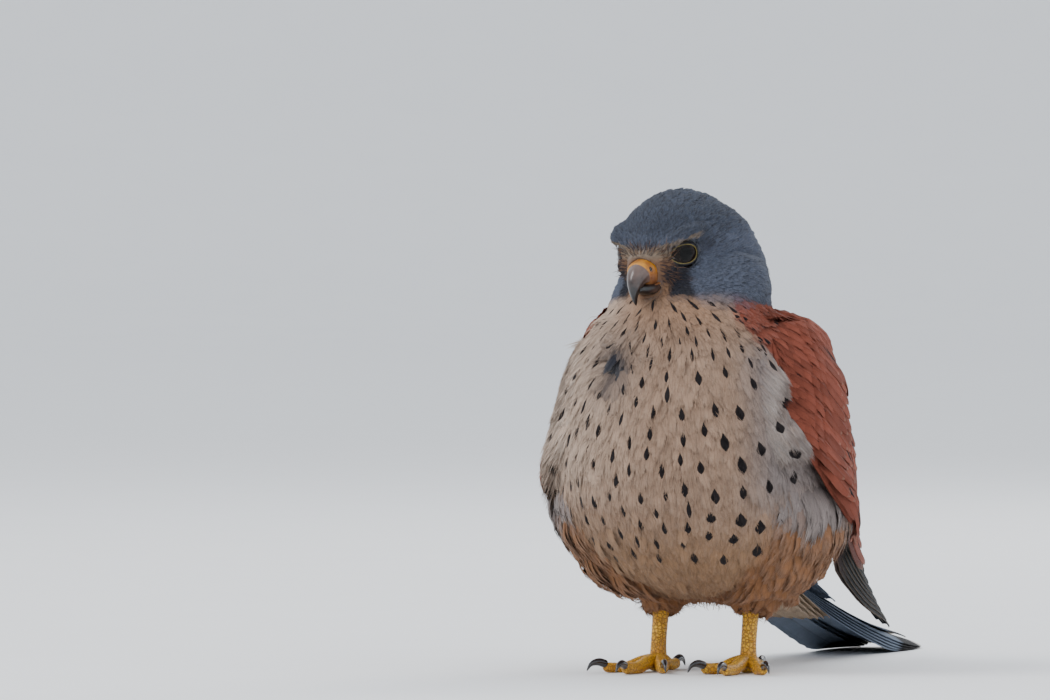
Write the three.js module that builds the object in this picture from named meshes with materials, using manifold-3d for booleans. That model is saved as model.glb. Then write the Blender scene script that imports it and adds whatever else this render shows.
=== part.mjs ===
// An adult male common kestrel, fluffed up against the cold and standing still, at life size.
// Millimetres. +Z is up, the bird faces -Y and its left side is +X. The origin is on the
// floor, under the middle of its box.

import * as THREE from "three";
import { mergeVertices } from "three/addons/utils/BufferGeometryUtils.js";
import Module from "manifold-3d";

const wasm = await Module();
wasm.setup();

// Driving dimensions of the whole bird.
const CROWN_HEIGHT = 172;
const BODY_HALF_WIDTH = 52.5;
const BREAST_DEPTH = 57;
const BACK_DEPTH = 57;
const BELLY_LEVEL = 25;
const HEAD_HALF_WIDTH = 22.5;
const HEAD_YAW = THREE.MathUtils.degToRad(10); // towards the bird's right
const HEAD_PITCH = THREE.MathUtils.degToRad(8); // bill down
const TAIL_LENGTH = 160;
const FOOT_SPACING = 17; // each foot's distance from the middle
const GAP = 0.32; // between pieces that touch
const BODY_AHEAD = 76.5; // how far the feet stand in front of the middle of its box
const FLOOR_FLAT = 0.5; // how deep the soles and the tail's tip are pressed flat

const MERGE_DISTANCE = 1e-4;
const HUGE = 600;
const UP = new THREE.Vector3(0, 0, 1);

const vec = (x, y, z) => new THREE.Vector3(x, y, z);
const mix = THREE.MathUtils.lerp;
const smooth = THREE.MathUtils.smoothstep;

// A closed geometry as a solid, with shared vertices merged and its faces pointing out.
function toSolid(geometry) {
  const bare = geometry.clone();
  bare.deleteAttribute("normal");
  bare.deleteAttribute("uv");
  const merged = mergeVertices(bare, MERGE_DISTANCE);
  const corners = Uint32Array.from(merged.index.array);
  const build = () =>
    new wasm.Manifold(
      new wasm.Mesh({
        numProp: 3,
        vertProperties: Float32Array.from(merged.attributes.position.array),
        triVerts: corners,
      }),
    );
  const solid = build();
  if (solid.volume() >= 0) return solid;
  for (let i = 0; i < corners.length; i += 3) {
    [corners[i + 1], corners[i + 2]] = [corners[i + 2], corners[i + 1]];
  }
  return build();
}

function toGeometry(solid) {
  const mesh = solid.getMesh();
  const geometry = new THREE.BufferGeometry();
  geometry.setAttribute("position", new THREE.BufferAttribute(mesh.vertProperties, 3));
  geometry.setIndex(new THREE.BufferAttribute(mesh.triVerts, 1));
  geometry.computeVertexNormals();
  return geometry;
}

const joined = (solids) => solids.reduce((whole, solid) => whole.add(solid));
const without = (solid, cutters) => cutters.reduce((left, cutter) => left.subtract(cutter), solid);
const mirrored = (solid) => solid.mirror([1, 0, 0]);

// The largest closed body of a solid: cuts can leave loose scraps beside it.
function largest(solid) {
  const bodies = solid.decompose();
  return bodies.reduce((best, body) => (body.volume() > best.volume() ? body : best));
}

// A closed skin with one pole at u = 0 and the other at u = 1, placed by point(u, angle).
function loft(around, along, point) {
  const skin = new THREE.SphereGeometry(1, around, along);
  const { position, uv } = skin.attributes;
  for (let i = 0; i < position.count; i++) {
    const place = point(1 - uv.getY(i), 2 * Math.PI * (uv.getX(i) % 1));
    position.setXYZ(i, place.x, place.y, place.z);
  }
  return skin;
}

// The same skin moved outwards along its normals.
function grown(geometry, distance) {
  const bare = geometry.clone();
  bare.deleteAttribute("normal");
  bare.deleteAttribute("uv");
  const merged = mergeVertices(bare, MERGE_DISTANCE);
  merged.computeVertexNormals();
  const { position, normal } = merged.attributes;
  for (let i = 0; i < position.count; i++) {
    position.setXYZ(
      i,
      position.getX(i) + distance * normal.getX(i),
      position.getY(i) + distance * normal.getY(i),
      position.getZ(i) + distance * normal.getZ(i),
    );
  }
  return merged;
}

// A thin closed plate: place(u, v, face) gives a point for u from 0 to 1 along it, v from
// -1 to 1 across it, and face +1 on its outer side or -1 on its inner one. Both faces are
// split into triangles alike.
function plate(along, across, place) {
  const grid = new THREE.PlaneGeometry(2, 1, across, along);
  const cells = Array.from(grid.index.array);
  const count = grid.attributes.position.count;
  const points = [];
  for (const face of [1, -1]) {
    for (let i = 0; i < count; i++) {
      const u = 0.5 - grid.attributes.position.getY(i);
      points.push(...place(u, grid.attributes.position.getX(i), face).toArray());
    }
  }
  const back = [];
  for (let i = 0; i < cells.length; i += 3) {
    back.push(cells[i] + count, cells[i + 2] + count, cells[i + 1] + count);
  }
  const wide = across + 1;
  const rim = [];
  for (let i = 0; i < across; i++) rim.push(i);
  for (let i = 0; i < along; i++) rim.push(across + i * wide);
  for (let i = 0; i < across; i++) rim.push(count - 1 - i);
  for (let i = 0; i < along; i++) rim.push(count - wide - i * wide);
  const edge = [];
  rim.forEach((a, i) => {
    const b = rim[(i + 1) % rim.length];
    edge.push(a, b, b + count, a, b + count, a + count);
  });
  const geometry = new THREE.BufferGeometry();
  geometry.setAttribute("position", new THREE.Float32BufferAttribute(points, 3));
  geometry.setIndex([...cells, ...back, ...edge]);
  return geometry;
}

// A smooth curve through points, and a smooth row of numbers read along it.
const through = (points) => new THREE.CatmullRomCurve3(points, false, "catmullrom", 0.5);

// A tapered round limb along a curve, with rounded ends. half(u) gives its half-width and
// half-height there.
function limb(curve, half, around, along, roundness = 0.12) {
  const side = vec(1, 0, 0);
  return loft(around, along, (u, angle) => {
    const centre = curve.getPoint(u);
    const ahead = curve.getTangent(u);
    const across = new THREE.Vector3().crossVectors(ahead, UP);
    if (across.lengthSq() < 1e-3) across.copy(side);
    across.normalize();
    const rise = new THREE.Vector3().crossVectors(across, ahead);
    const end = Math.min(u, 1 - u) / roundness;
    const swell = end < 1 ? Math.sqrt(1 - (1 - end) ** 2) : 1;
    const [width, height] = half(u);
    return centre
      .addScaledVector(across, swell * width * Math.cos(angle))
      .addScaledVector(rise, swell * height * Math.sin(angle));
  });
}

// A block that is everything on one side of a plane.
function halfSpace(point, normal) {
  const block = new THREE.BoxGeometry(HUGE, HUGE, HUGE);
  block.translate(0, 0, HUGE / 2);
  const turn = new THREE.Quaternion().setFromUnitVectors(UP, normal.clone().normalize());
  block.applyQuaternion(turn);
  block.translate(point.x, point.y, point.z);
  return toSolid(block);
}

const aboveFloor = halfSpace(vec(0, 0, 0), UP);

// Torso: level slices from the neck down to the belly. Each row is height, middle, half
// width, and depth in front of and behind the middle.
const TORSO_SLICES = [
  [149, -14, 0, 0, 0],
  [147.5, -14, 15, 11, 16],
  [145, -14, 22, 16, 23],
  [141, -14, 26.5, 19, 27],
  [135, -14, 29, 23, 30],
  [130, -13.5, 31.5, 28, 33],
  [126.5, -12, 36.5, 33, 38],
  [121, -8, 42, 40, 43.5],
  [114, -5, 45.5, 46, 47.5],
  [104, -4, 48.5, 51, 51],
  [89, -4, 51, 55.5, 54],
  [73, -4, BODY_HALF_WIDTH, BREAST_DEPTH, BACK_DEPTH],
  [57, -2, 51, 53, 62],
  [43, 2, 44, 44, 62],
  [32, 6, 31, 31, 54],
  [BELLY_LEVEL, 12, 14, 14, 34],
  [BELLY_LEVEL - 1.5, 16, 0, 0, 0],
];
const TORSO_AROUND = 40;
const TORSO_ALONG = 30;
const WING_BED = 4.5; // how deep the flank is pressed in under the folded wing

const torsoHeights = through(TORSO_SLICES.map(([z, middle]) => vec(z, middle, 0)));
const torsoSizes = through(TORSO_SLICES.map((slice) => vec(slice[2], slice[3], slice[4])));

// The bed of the wing runs from the breast's edge round to the back, and slopes down as it goes.
function wingBed(angle, z) {
  const round = Math.abs(Math.atan2(Math.sin(angle), Math.cos(angle)));
  const front = smooth(round, 1.05, 1.35);
  const back = 1 - smooth(round, 2.3, 2.8);
  const lower = mix(78, 40, smooth(round, 1.2, 2.4));
  return WING_BED * front * back * smooth(z, lower - 8, lower + 8) * (1 - smooth(z, 110, 126));
}

function torsoPoint(u, angle) {
  const { x: z, y: middle } = torsoHeights.getPoint(u);
  const { x: width, y: front, z: behind } = torsoSizes.getPoint(u);
  const depth = Math.cos(angle) > 0 ? front : behind;
  const full = width > 1 ? 1 - wingBed(angle, z) / width : 1;
  return vec(full * width * Math.sin(angle), middle - full * depth * Math.cos(angle), z);
}

const torsoSkin = () => loft(TORSO_AROUND, TORSO_ALONG, torsoPoint);

// How far down the torso's curve a height lies, found by halving.
function torsoLevel(z) {
  let above = 0;
  let below = 1;
  for (let step = 0; step < 20; step++) {
    const middle = (above + below) / 2;
    if (torsoHeights.getPoint(middle).x > z) above = middle;
    else below = middle;
  }
  return above;
}

// Moves a point level outwards until it clears the torso by the distance given. hug, from 0 to
// 1, also draws in a point that stands further off.
function clearOfTorso(point, clearance, hug) {
  if (point.z > TORSO_SLICES[0][0] || point.z < BELLY_LEVEL) return point;
  const u = torsoLevel(point.z);
  const middle = torsoHeights.getPoint(u).y;
  const { x: width, y: front, z: behind } = torsoSizes.getPoint(u);
  const depth = point.y < middle ? front : behind;
  const angle = Math.atan2(point.x / width, (middle - point.y) / depth);
  const skin = torsoPoint(u, angle);
  const reach = Math.hypot(skin.x, skin.y - middle) + clearance;
  const out = Math.hypot(point.x, point.y - middle);
  const scale = out < reach ? reach / out : mix(1, reach / out, hug);
  return vec(point.x * scale, middle + (point.y - middle) * scale, point.z);
}

// Head: slices from the bill's root back to the nape, in the head's own frame, where
// forward is -Y. Each row is how far forward, half width, top and bottom.
const HEAD_ORIGIN = vec(-7, -22, CROWN_HEIGHT - 21.6);
const HEAD_SLICES = [
  [20.5, 0, -3.5, -3.5],
  [19.5, 4.2, 0.4, -8],
  [16, 8.4, 5.6, -11],
  [11, 12.6, 11.6, -13.5],
  [5, 16, 16.8, -16],
  [-3, 18.8, 20.2, -18],
  [-13, 21.4, 20.8, -20],
  [-22, HEAD_HALF_WIDTH, 17.6, -21],
  [-30, 20, 9.5, -20],
  [-35, 12, 0, -16],
  [-37, 0, -8, -8],
];

const headPlace = new THREE.Matrix4()
  .makeTranslation(HEAD_ORIGIN)
  .multiply(new THREE.Matrix4().makeRotationZ(-HEAD_YAW))
  .multiply(new THREE.Matrix4().makeRotationX(HEAD_PITCH));

function headSkin() {
  const lengths = through(HEAD_SLICES.map(([forward, width]) => vec(forward, width, 0)));
  const levels = through(HEAD_SLICES.map(([, , top, bottom]) => vec(top, bottom, 0)));
  const skin = loft(26, 17, (u, angle) => {
    const { x: forward, y: width } = lengths.getPoint(u);
    const { x: top, y: bottom } = levels.getPoint(u);
    const middle = mix(bottom, top, 0.42);
    const rise = Math.cos(angle) > 0 ? top - middle : middle - bottom;
    return vec(Math.max(width, 0) * Math.sin(angle), -forward, middle + rise * Math.cos(angle));
  });
  return skin.applyMatrix4(headPlace);
}

// Everything of the head that is set in its own frame goes through this.
const onHead = (geometry) => geometry.applyMatrix4(headPlace);

const EYE_RADIUS = 6.1;
const EYE_OPENING = 4.75;
const EYE_FORWARD = 8.2;
const EYE_SIDE = 10.4;
const EYE_LEVEL = 0.4;
const EYE_AIM = THREE.MathUtils.degToRad(24); // forward of straight sideways
const LID_THICKNESS = 0.85;

// The eye's own frame: +Z looks out of it.
function eyePlace(side) {
  const outward = vec(side * Math.cos(EYE_AIM), -Math.sin(EYE_AIM), 0.04).normalize();
  const turn = new THREE.Quaternion().setFromUnitVectors(UP, outward);
  return new THREE.Matrix4().compose(
    vec(side * EYE_SIDE, -EYE_FORWARD, EYE_LEVEL),
    turn,
    vec(1, 1, 1),
  );
}

function eyeBall(side, radius) {
  const ball = new THREE.SphereGeometry(radius, 16, 9);
  ball.rotateX(Math.PI / 2);
  return toSolid(onHead(ball.applyMatrix4(eyePlace(side))));
}

// The lids: a ring that stands a little proud of the face round the eye's opening.
function eyeLids(side) {
  const level = Math.sqrt(EYE_RADIUS ** 2 - EYE_OPENING ** 2);
  const ring = new THREE.TorusGeometry(EYE_OPENING + 0.55, LID_THICKNESS, 4, 16);
  ring.translate(0, 0, level + 0.1);
  return toSolid(onHead(ring.applyMatrix4(eyePlace(side))));
}

// The space in front of the eye, cut through the face inside the lids.
function eyeOpening(side) {
  const bore = new THREE.CylinderGeometry(EYE_OPENING + 1.6, EYE_OPENING - 0.4, 6, 16);
  bore.rotateX(Math.PI / 2);
  bore.translate(0, 0, Math.sqrt(EYE_RADIUS ** 2 - EYE_OPENING ** 2) + 3);
  return toSolid(onHead(bore.applyMatrix4(eyePlace(side))));
}

// The brow: a low ridge from the cere back over the eye.
function brow(side) {
  const line = through([
    vec(side * 8, -15.5, 5),
    vec(side * 12.4, -11.5, 7.2),
    vec(side * 15.2, -5, 8.2),
    vec(side * 17, 1, 7.6),
  ]);
  return toSolid(onHead(limb(line, () => [2, 1.5], 6, 7, 0.4)));
}

// Upper bill and cere: slices down the hooked culmen, in the head's frame. Each row is how
// far forward and how high its middle is, its half width and its half height.
const BILL_SLICES = [
  [13, -5.6, 5.4, 4.6],
  [17, -4.9, 5.2, 4.5],
  [20.1, -4.7, 4.7, 4.1],
  [23, -5.6, 3.9, 3.7],
  [25.3, -8, 2.9, 3.1],
  [26.2, -11.2, 1.7, 2.2],
  [25.7, -14.2, 0.75, 1.1],
  [24.9, -16.2, 0.25, 0.35],
];
const CERE_FRONT = 21.5;
const CERE_SWELL = 0.35;

function hookedBill(grow) {
  const line = through(BILL_SLICES.map(([forward, height]) => vec(0, -forward, height)));
  const sizes = through(BILL_SLICES.map(([, , width, rise]) => vec(width, rise, 0)));
  const skin = limb(line, (u) => sizes.getPoint(u).toArray().slice(0, 2), 12, 14, 0.06);
  return toSolid(onHead(grown(skin, grow)));
}

const onHeadPoint = (x, y, z) => vec(x, y, z).applyMatrix4(headPlace);
const headForward = vec(0, -1, 0).transformDirection(headPlace);
const headUp = vec(0, 0, 1).transformDirection(headPlace);

function nostril(side) {
  const hole = new THREE.CylinderGeometry(0.95, 0.95, 4, 12);
  hole.rotateZ(Math.PI / 2);
  hole.translate(side * 5.6, -19.8, -3.6);
  return toSolid(onHead(hole));
}

// Lower bill: a shallow scoop under the upper one.
function lowerBillSkin() {
  const line = through([
    vec(0, -9.5, -10.4),
    vec(0, -14.5, -11.2),
    vec(0, -19, -11.7),
    vec(0, -22.8, -11.2),
  ]);
  const taper = through([vec(5, 2.6, 0), vec(4.6, 2.5, 0), vec(3.6, 2, 0), vec(1.6, 1, 0)]);
  const skin = limb(line, (u) => taper.getPoint(u).toArray().slice(0, 2), 12, 9, 0.2);
  return onHead(skin);
}

// Wing: a sheet along a spine from the wrist to the tip, bowed across round the flank and
// kept clear of the torso. onWing(s, t, lift) takes s from 0 at the wrist to 1 at the tip, t
// in millimetres across, minus towards the back, and lift in millimetres off the sheet.
const WING_SPINE = through([
  vec(38, -33, 108),
  vec(47, -6, 99),
  vec(44, 30, 82),
  vec(33, 67, 60),
  vec(22, 107, 41.5),
  vec(13.5, 147, 28.5),
  vec(6, 187, 17.5),
]);
const WING_OUTWARD = through([
  vec(0.84, -0.5, 0.22),
  vec(0.98, -0.02, 0.2),
  vec(0.94, 0.2, 0.26),
  vec(0.9, 0.16, 0.42),
  vec(0.74, 0.12, 0.66),
  vec(0.55, 0.1, 0.83),
  vec(0.38, 0.08, 0.92),
]);
const WING_BOW = [44, 56]; // radius across it, at the wrist and at the tip
const WING_REST = 3.6; // the sheet's height over the flank

function onWing(s, t, lift) {
  const centre = WING_SPINE.getPoint(s);
  const ahead = WING_SPINE.getTangent(s);
  const across = new THREE.Vector3().crossVectors(ahead, WING_OUTWARD.getPoint(s)).normalize();
  const outward = new THREE.Vector3().crossVectors(across, ahead);
  const bow = mix(...WING_BOW, s);
  const point = centre
    .addScaledVector(outward, (bow + lift) * Math.cos(t / bow) - bow)
    .addScaledVector(across, (bow + lift) * Math.sin(t / bow));
  const hug = smooth(-t, 0, 22) * (1 - smooth(s, 0.2, 0.42));
  return clearOfTorso(point, mix(-6, WING_REST, smooth(s, -0.04, 0.1)) + lift, hug);
}

// One feather vane on a sheet, where place(s, t, lift) gives the sheet's points. root and tip
// are [s, t], rootLift and lift its heights there, and roll tilts it across.
const VANE_THICKNESS = 0.62;

function vaneWidth(u) {
  const base = mix(0.55, 1, smooth(u, 0, 0.4));
  const end = Math.max(u - 0.62, 0) / 0.4;
  return base * Math.sqrt(1 - end * end);
}

function vane(place, { root, tip, half, lift, rootLift = lift, roll = 0, along = 5, across = 1 }) {
  const skin = plate(along, across, (row, v, face) => {
    const u = row * (1.35 - 0.35 * row);
    const side = v * half * vaneWidth(u);
    const middle = mix(rootLift, lift, smooth(u, 0, 0.35));
    const thick = VANE_THICKNESS * mix(1, 0.75, u);
    const down = mix(root[0], tip[0], u);
    return place(down, mix(root[1], tip[1], u) + side, middle + roll * side + (face * thick) / 2);
  });
  return toSolid(skin);
}

// The wing's arm: a lens that the vanes grow from. Each row is its upper and lower edge.
const ARM_EDGES = through([vec(-19, 18, 0), vec(-27, 33, 0), vec(-30, 41, 0), vec(-21, 31, 0)]);
const ARM_END = 0.42;
const ARM_THICKNESS = 5.4;

function wingArm() {
  const skin = plate(9, 6, (u, v, face) => {
    const { x: back, y: belly } = ARM_EDGES.getPoint(u);
    const swell = smooth(u, -0.15, 0.3) * mix(1, 0.4, smooth(u, 0.6, 1));
    const thick = 0.6 + ARM_THICKNESS * swell * (1 - 0.75 * v * v);
    return onWing(ARM_END * u, mix(back, belly, (v + 1) / 2), (face * thick) / 2);
  });
  return toSolid(skin);
}

const SECONDARIES = 9; // with the tertials, from the lowest up to the one nearest the back
const GREATER_COVERTS = 7;
const PRIMARY_TIPS = [0.64, 0.7, 0.76, 0.82, 0.88, 0.945, 0.99, 0.93]; // inner to outermost
const PRIMARY_STEP = 0.92; // between one primary and the next under it

function plumedWing() {
  const vanes = [];
  for (let i = 0; i < SECONDARIES; i++) {
    const high = i / (SECONDARIES - 1);
    const spec = { half: 7.4, lift: 0, roll: 0.18 };
    const root = [mix(0.2, 0.14, high), mix(27, -22, high)];
    vanes.push(vane(onWing, { ...spec, root, tip: [mix(0.55, 0.45, high), mix(22, -25, high)] }));
  }
  for (let i = 0; i < GREATER_COVERTS; i++) {
    const high = i / (GREATER_COVERTS - 1);
    const spec = { half: 7.6, lift: 2.5, rootLift: 1.4, roll: 0.15, along: 3 };
    const root = [mix(0.12, 0.08, high), mix(26, -19, high)];
    vanes.push(vane(onWing, { ...spec, root, tip: [mix(0.36, 0.28, high), mix(31, -22, high)] }));
  }
  PRIMARY_TIPS.forEach((end, i) => {
    const low = i / (PRIMARY_TIPS.length - 1);
    const spec = { half: 6.4, lift: -1.9 - PRIMARY_STEP * i, rootLift: -0.6 * low, along: 6 };
    const root = [0.32, mix(15, 25, low)];
    vanes.push(vane(onWing, { ...spec, root, tip: [end, mix(12, 3, low)] }));
  });
  return joined([wingArm(), ...vanes]);
}

// Tail: a sheet along a spine from the rump to the tip, which lies on the floor.
const TAIL_ROOT = vec(0, 56, 40);
const TAIL_SPINE = through([
  TAIL_ROOT,
  vec(0, 56 + 0.32 * TAIL_LENGTH, 24),
  vec(0, 56 + 0.66 * TAIL_LENGTH, 12),
  vec(0, 54 + TAIL_LENGTH, 4.2),
]);
const TAIL_BOW = 34;

function onTail(s, t, lift) {
  const centre = TAIL_SPINE.getPoint(s);
  const ahead = TAIL_SPINE.getTangent(s);
  const across = vec(1, 0, 0);
  const outward = new THREE.Vector3().crossVectors(across, ahead);
  return centre
    .addScaledVector(outward, (TAIL_BOW + lift) * Math.cos(t / TAIL_BOW) - TAIL_BOW)
    .addScaledVector(across, (TAIL_BOW + lift) * Math.sin(t / TAIL_BOW));
}

// The tail's root, and twelve feathers: the middle pair lies on top of the rest.
function tailRoot() {
  const skin = plate(5, 4, (u, v, face) => {
    const half = mix(13, 9, u);
    const thick = mix(9, 3.4, u) * (1 - 0.4 * v * v);
    return onTail(mix(0, 0.3, u), v * half, -2 + (face * thick) / 2);
  });
  return toSolid(skin);
}

const TAIL_PAIRS = 6;
const TAIL_STEP = 0.95;
const TAIL_VANE_HALF = 8.2;

function plumedTail() {
  const vanes = [];
  for (let pair = 0; pair < TAIL_PAIRS; pair++) {
    for (const side of [1, -1]) {
      const out = pair === 0 ? 1.5 * side : side * (8.8 + 1.1 * pair);
      const lift = -TAIL_STEP * pair + (pair === 0 && side > 0 ? TAIL_STEP : 0);
      const root = [0.1, out * 0.5];
      const tip = [1 - 0.014 * pair, out];
      const spec = { half: TAIL_VANE_HALF, lift, rootLift: -2 + 0.4 * lift };
      vanes.push(vane(onTail, { ...spec, root, tip }));
    }
  }
  return joined([tailRoot(), ...vanes]);
}

// Legs: a feathered thigh, a bare tarsus, and four toes with a claw each.
const FOOT_MIDDLE = -2;
const TOES = [
  { name: "inner", turn: -24, length: 24, thick: 2.3 },
  { name: "middle", turn: 3, length: 32, thick: 2.4 },
  { name: "outer", turn: 32, length: 25, thick: 2.1 },
  { name: "hind", turn: 184, length: 17, thick: 2.3 },
];

function toeLine(side, toe) {
  const angle = THREE.MathUtils.degToRad(toe.turn);
  const ahead = vec(side * Math.sin(angle), -Math.cos(angle), 0);
  const start = vec(side * FOOT_SPACING, FOOT_MIDDLE, 4.4);
  const at = (distance, height) => start.clone().addScaledVector(ahead, distance).setZ(height);
  return {
    ahead,
    end: at(toe.length, toe.thick - FLOOR_FLAT + 0.5),
    curve: through([
      start,
      at(0.3 * toe.length, 3.6),
      at(0.62 * toe.length, toe.thick - FLOOR_FLAT + 0.1),
      at(toe.length, toe.thick - FLOOR_FLAT + 0.5),
    ]),
  };
}

function toeSkin(side, toe) {
  const { curve } = toeLine(side, toe);
  const half = (u) => {
    const joints = 1 + 0.1 * Math.cos(u * 3 * 2 * Math.PI);
    const size = toe.thick * mix(1.12, 0.84, u) * joints;
    return [size, size];
  };
  return limb(curve, half, 7, 8, 0.14);
}

function clawSolid(side, toe) {
  const { end, ahead } = toeLine(side, toe);
  const at = (distance, height) => end.clone().addScaledVector(ahead, distance).setZ(height);
  const curve = through([at(-1.6, 3), at(2.2, 4), at(5.6, 3.3), at(7.6, 0.9)]);
  const half = (u) => [mix(1.35, 0.3, u), mix(1.6, 0.34, u)];
  return toSolid(limb(curve, half, 6, 7, 0.1));
}

const TARSUS_TOP = 34;
const TARSUS_BACK = 6; // how far behind the foot the leg's upper end is

function tarsusSkin(side) {
  const curve = through([
    vec(side * FOOT_SPACING, FOOT_MIDDLE, 5),
    vec(side * FOOT_SPACING, FOOT_MIDDLE + 1, 13),
    vec(side * FOOT_SPACING, FOOT_MIDDLE + TARSUS_BACK, TARSUS_TOP),
  ]);
  const half = (u) => [mix(2.9, 3.2, u), mix(3.2, 3.4, u)];
  return limb(curve, half, 10, 8, 0.1);
}

function thighSkin(side) {
  const curve = through([
    vec(side * (FOOT_SPACING + 2), FOOT_MIDDLE + 12, 50),
    vec(side * (FOOT_SPACING + 1), FOOT_MIDDLE + 7, 34),
    vec(side * FOOT_SPACING, FOOT_MIDDLE + 2.5, 17),
  ]);
  const half = (u) => [mix(17, 7.5, u), mix(19, 8, u)];
  return limb(curve, half, 16, 9, 0.2);
}

function soleSolid(side) {
  const ball = new THREE.SphereGeometry(1, 12, 8);
  ball.scale(4.6, 5.2, 3.6);
  ball.translate(side * FOOT_SPACING, FOOT_MIDDLE, 3.2);
  return toSolid(ball);
}

// Colours of the plumage and the bare parts.
const FINISHES = {
  slate_feathers: { color: 0x5a6270, roughness: 0.85 },
  buff_feathers: { color: 0xb8a184, roughness: 0.9 },
  chestnut_feathers: { color: 0x8a4a34, roughness: 0.85 },
  yellow_skin: { color: 0xd39a1e, roughness: 0.55 },
  horn: { color: 0x2b2a2e, roughness: 0.35 },
  eye_gloss: { color: 0x0b0908, roughness: 0.05 },
};

// The bird is modelled round the middle of its feet and then set with its box over the origin.
const bird = new THREE.Group();
bird.position.y = -BODY_AHEAD;
const kestrel = new THREE.Group();
kestrel.name = "kestrel";
kestrel.add(bird);

function addNode(name, solid, finish) {
  const material = new THREE.MeshStandardMaterial({ ...FINISHES[finish], metalness: 0 });
  const mesh = new THREE.Mesh(toGeometry(largest(solid)), material);
  mesh.name = name;
  bird.add(mesh);
}

// The flesh is modelled whole and parted with thin cuts.
const torsoForm = torsoSkin();
const torsoWhole = toSolid(torsoForm);
const torsoRoom = toSolid(grown(torsoForm, GAP));
const headWhole = toSolid(headSkin());
const sides = [
  { name: "left", sign: 1 },
  { name: "right", sign: -1 },
];

const THROAT = vec(0, -45, 131);
const COLLAR = vec(0, -45, 124);
const collarRise = vec(0, -0.06, 1).normalize();
const overHead = halfSpace(THROAT.clone().addScaledVector(collarRise, GAP), collarRise);
const underHead = halfSpace(THROAT, collarRise.clone().negate());
const overCollar = halfSpace(COLLAR.clone().addScaledVector(collarRise, GAP), collarRise);
const underCollar = halfSpace(COLLAR, collarRise.clone().negate());

const flesh = torsoWhole.add(headWhole);
const face = joined([flesh, ...sides.flatMap(({ sign }) => [brow(sign), eyeLids(sign)])]);
const billRoom = hookedBill(GAP + 0.12);
const lowerBillForm = lowerBillSkin();
const head = without(face.intersect(overHead), [
  billRoom,
  toSolid(grown(lowerBillForm, GAP + 0.1)),
  ...sides.flatMap(({ sign }) => [eyeBall(sign, EYE_RADIUS + GAP), eyeOpening(sign)]),
]);
const cereForward = onHeadPoint(0, -CERE_FRONT, -4);
const cereNormal = headForward.clone().addScaledVector(headUp, -0.35).normalize();
const behindCere = halfSpace(cereForward, cereNormal.clone().negate());
const beyondCere = halfSpace(cereForward.clone().addScaledVector(cereNormal, GAP), cereNormal);

const wing = plumedWing();

addNode("head", head, "slate_feathers");
addNode("neck", flesh.intersect(underHead).intersect(overCollar), "buff_feathers");
addNode("torso", torsoWhole.intersect(underCollar), "buff_feathers");
addNode("cere", without(hookedBill(0).intersect(behindCere), [nostril(1), nostril(-1)]), "yellow_skin");
addNode("bill_upper", hookedBill(0).intersect(beyondCere), "horn");
addNode("bill_lower", toSolid(lowerBillForm).subtract(billRoom), "horn");
addNode("wing_left", wing.subtract(torsoRoom), "chestnut_feathers");
addNode("wing_right", mirrored(wing).subtract(torsoRoom), "chestnut_feathers");
addNode("tail", plumedTail().subtract(torsoRoom).intersect(aboveFloor), "slate_feathers");

for (const { name, sign } of sides) {
  addNode(`eye_${name}`, eyeBall(sign, EYE_RADIUS), "eye_gloss");
  const tarsusForm = tarsusSkin(sign);
  const tarsusRoom = toSolid(grown(tarsusForm, GAP + 0.05));
  const foot = joined([soleSolid(sign), ...TOES.map((toe) => toSolid(toeSkin(sign, toe)))]);
  addNode(`thigh_${name}`, without(toSolid(thighSkin(sign)), [torsoRoom, tarsusRoom]), "buff_feathers");
  addNode(`tarsus_${name}`, toSolid(tarsusForm).subtract(torsoRoom), "yellow_skin");
  addNode(`foot_${name}`, foot.subtract(tarsusRoom).intersect(aboveFloor), "yellow_skin");
  for (const toe of TOES) {
    const toeRoom = toSolid(grown(toeSkin(sign, toe), GAP + 0.2));
    addNode(`claw_${name}_${toe.name}`, clawSolid(sign, toe).subtract(toeRoom), "horn");
  }
}

export default kestrel;
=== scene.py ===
"""An adult male common kestrel, fluffed up and standing still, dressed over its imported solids.

Sizes in the tables are millimetres in the bird's own frame: origin midway between its feet,
+Z up, facing -Y, its left side +X. to_row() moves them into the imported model's frame.
"""

import math

import bmesh
import bpy
import numpy as np
from bpy.props import FloatProperty, FloatVectorProperty, PointerProperty
from mathutils import Matrix, Vector, noise
from mathutils.bvhtree import BVHTree
from mathutils.kdtree import KDTree


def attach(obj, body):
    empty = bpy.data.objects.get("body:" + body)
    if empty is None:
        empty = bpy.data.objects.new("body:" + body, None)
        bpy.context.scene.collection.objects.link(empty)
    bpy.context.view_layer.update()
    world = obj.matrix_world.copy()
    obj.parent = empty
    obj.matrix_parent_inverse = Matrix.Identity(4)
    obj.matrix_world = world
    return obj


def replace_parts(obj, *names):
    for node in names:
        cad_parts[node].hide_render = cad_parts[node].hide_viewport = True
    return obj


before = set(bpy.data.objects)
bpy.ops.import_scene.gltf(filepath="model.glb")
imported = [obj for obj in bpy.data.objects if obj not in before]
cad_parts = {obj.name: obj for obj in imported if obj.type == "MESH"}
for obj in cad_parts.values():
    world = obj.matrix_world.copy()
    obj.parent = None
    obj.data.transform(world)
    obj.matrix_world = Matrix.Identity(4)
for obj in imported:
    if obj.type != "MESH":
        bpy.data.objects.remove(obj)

bl_info = {
    "name": "Common kestrel",
    "version": (1, 0, 0),
    "blender": (4, 5, 0),
    "location": "3D View > Sidebar > Kestrel",
    "description": "Dresses the packed kestrel in skin, feathers, bill, eyes and feet",
    "category": "Object",
}

MM = 0.001
BODY_AHEAD = 76.5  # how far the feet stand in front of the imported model's middle
BODY = "root"
SIDES = (("left", 1), ("right", -1))
UP = np.array([0.0, 0.0, 1.0])

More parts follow.
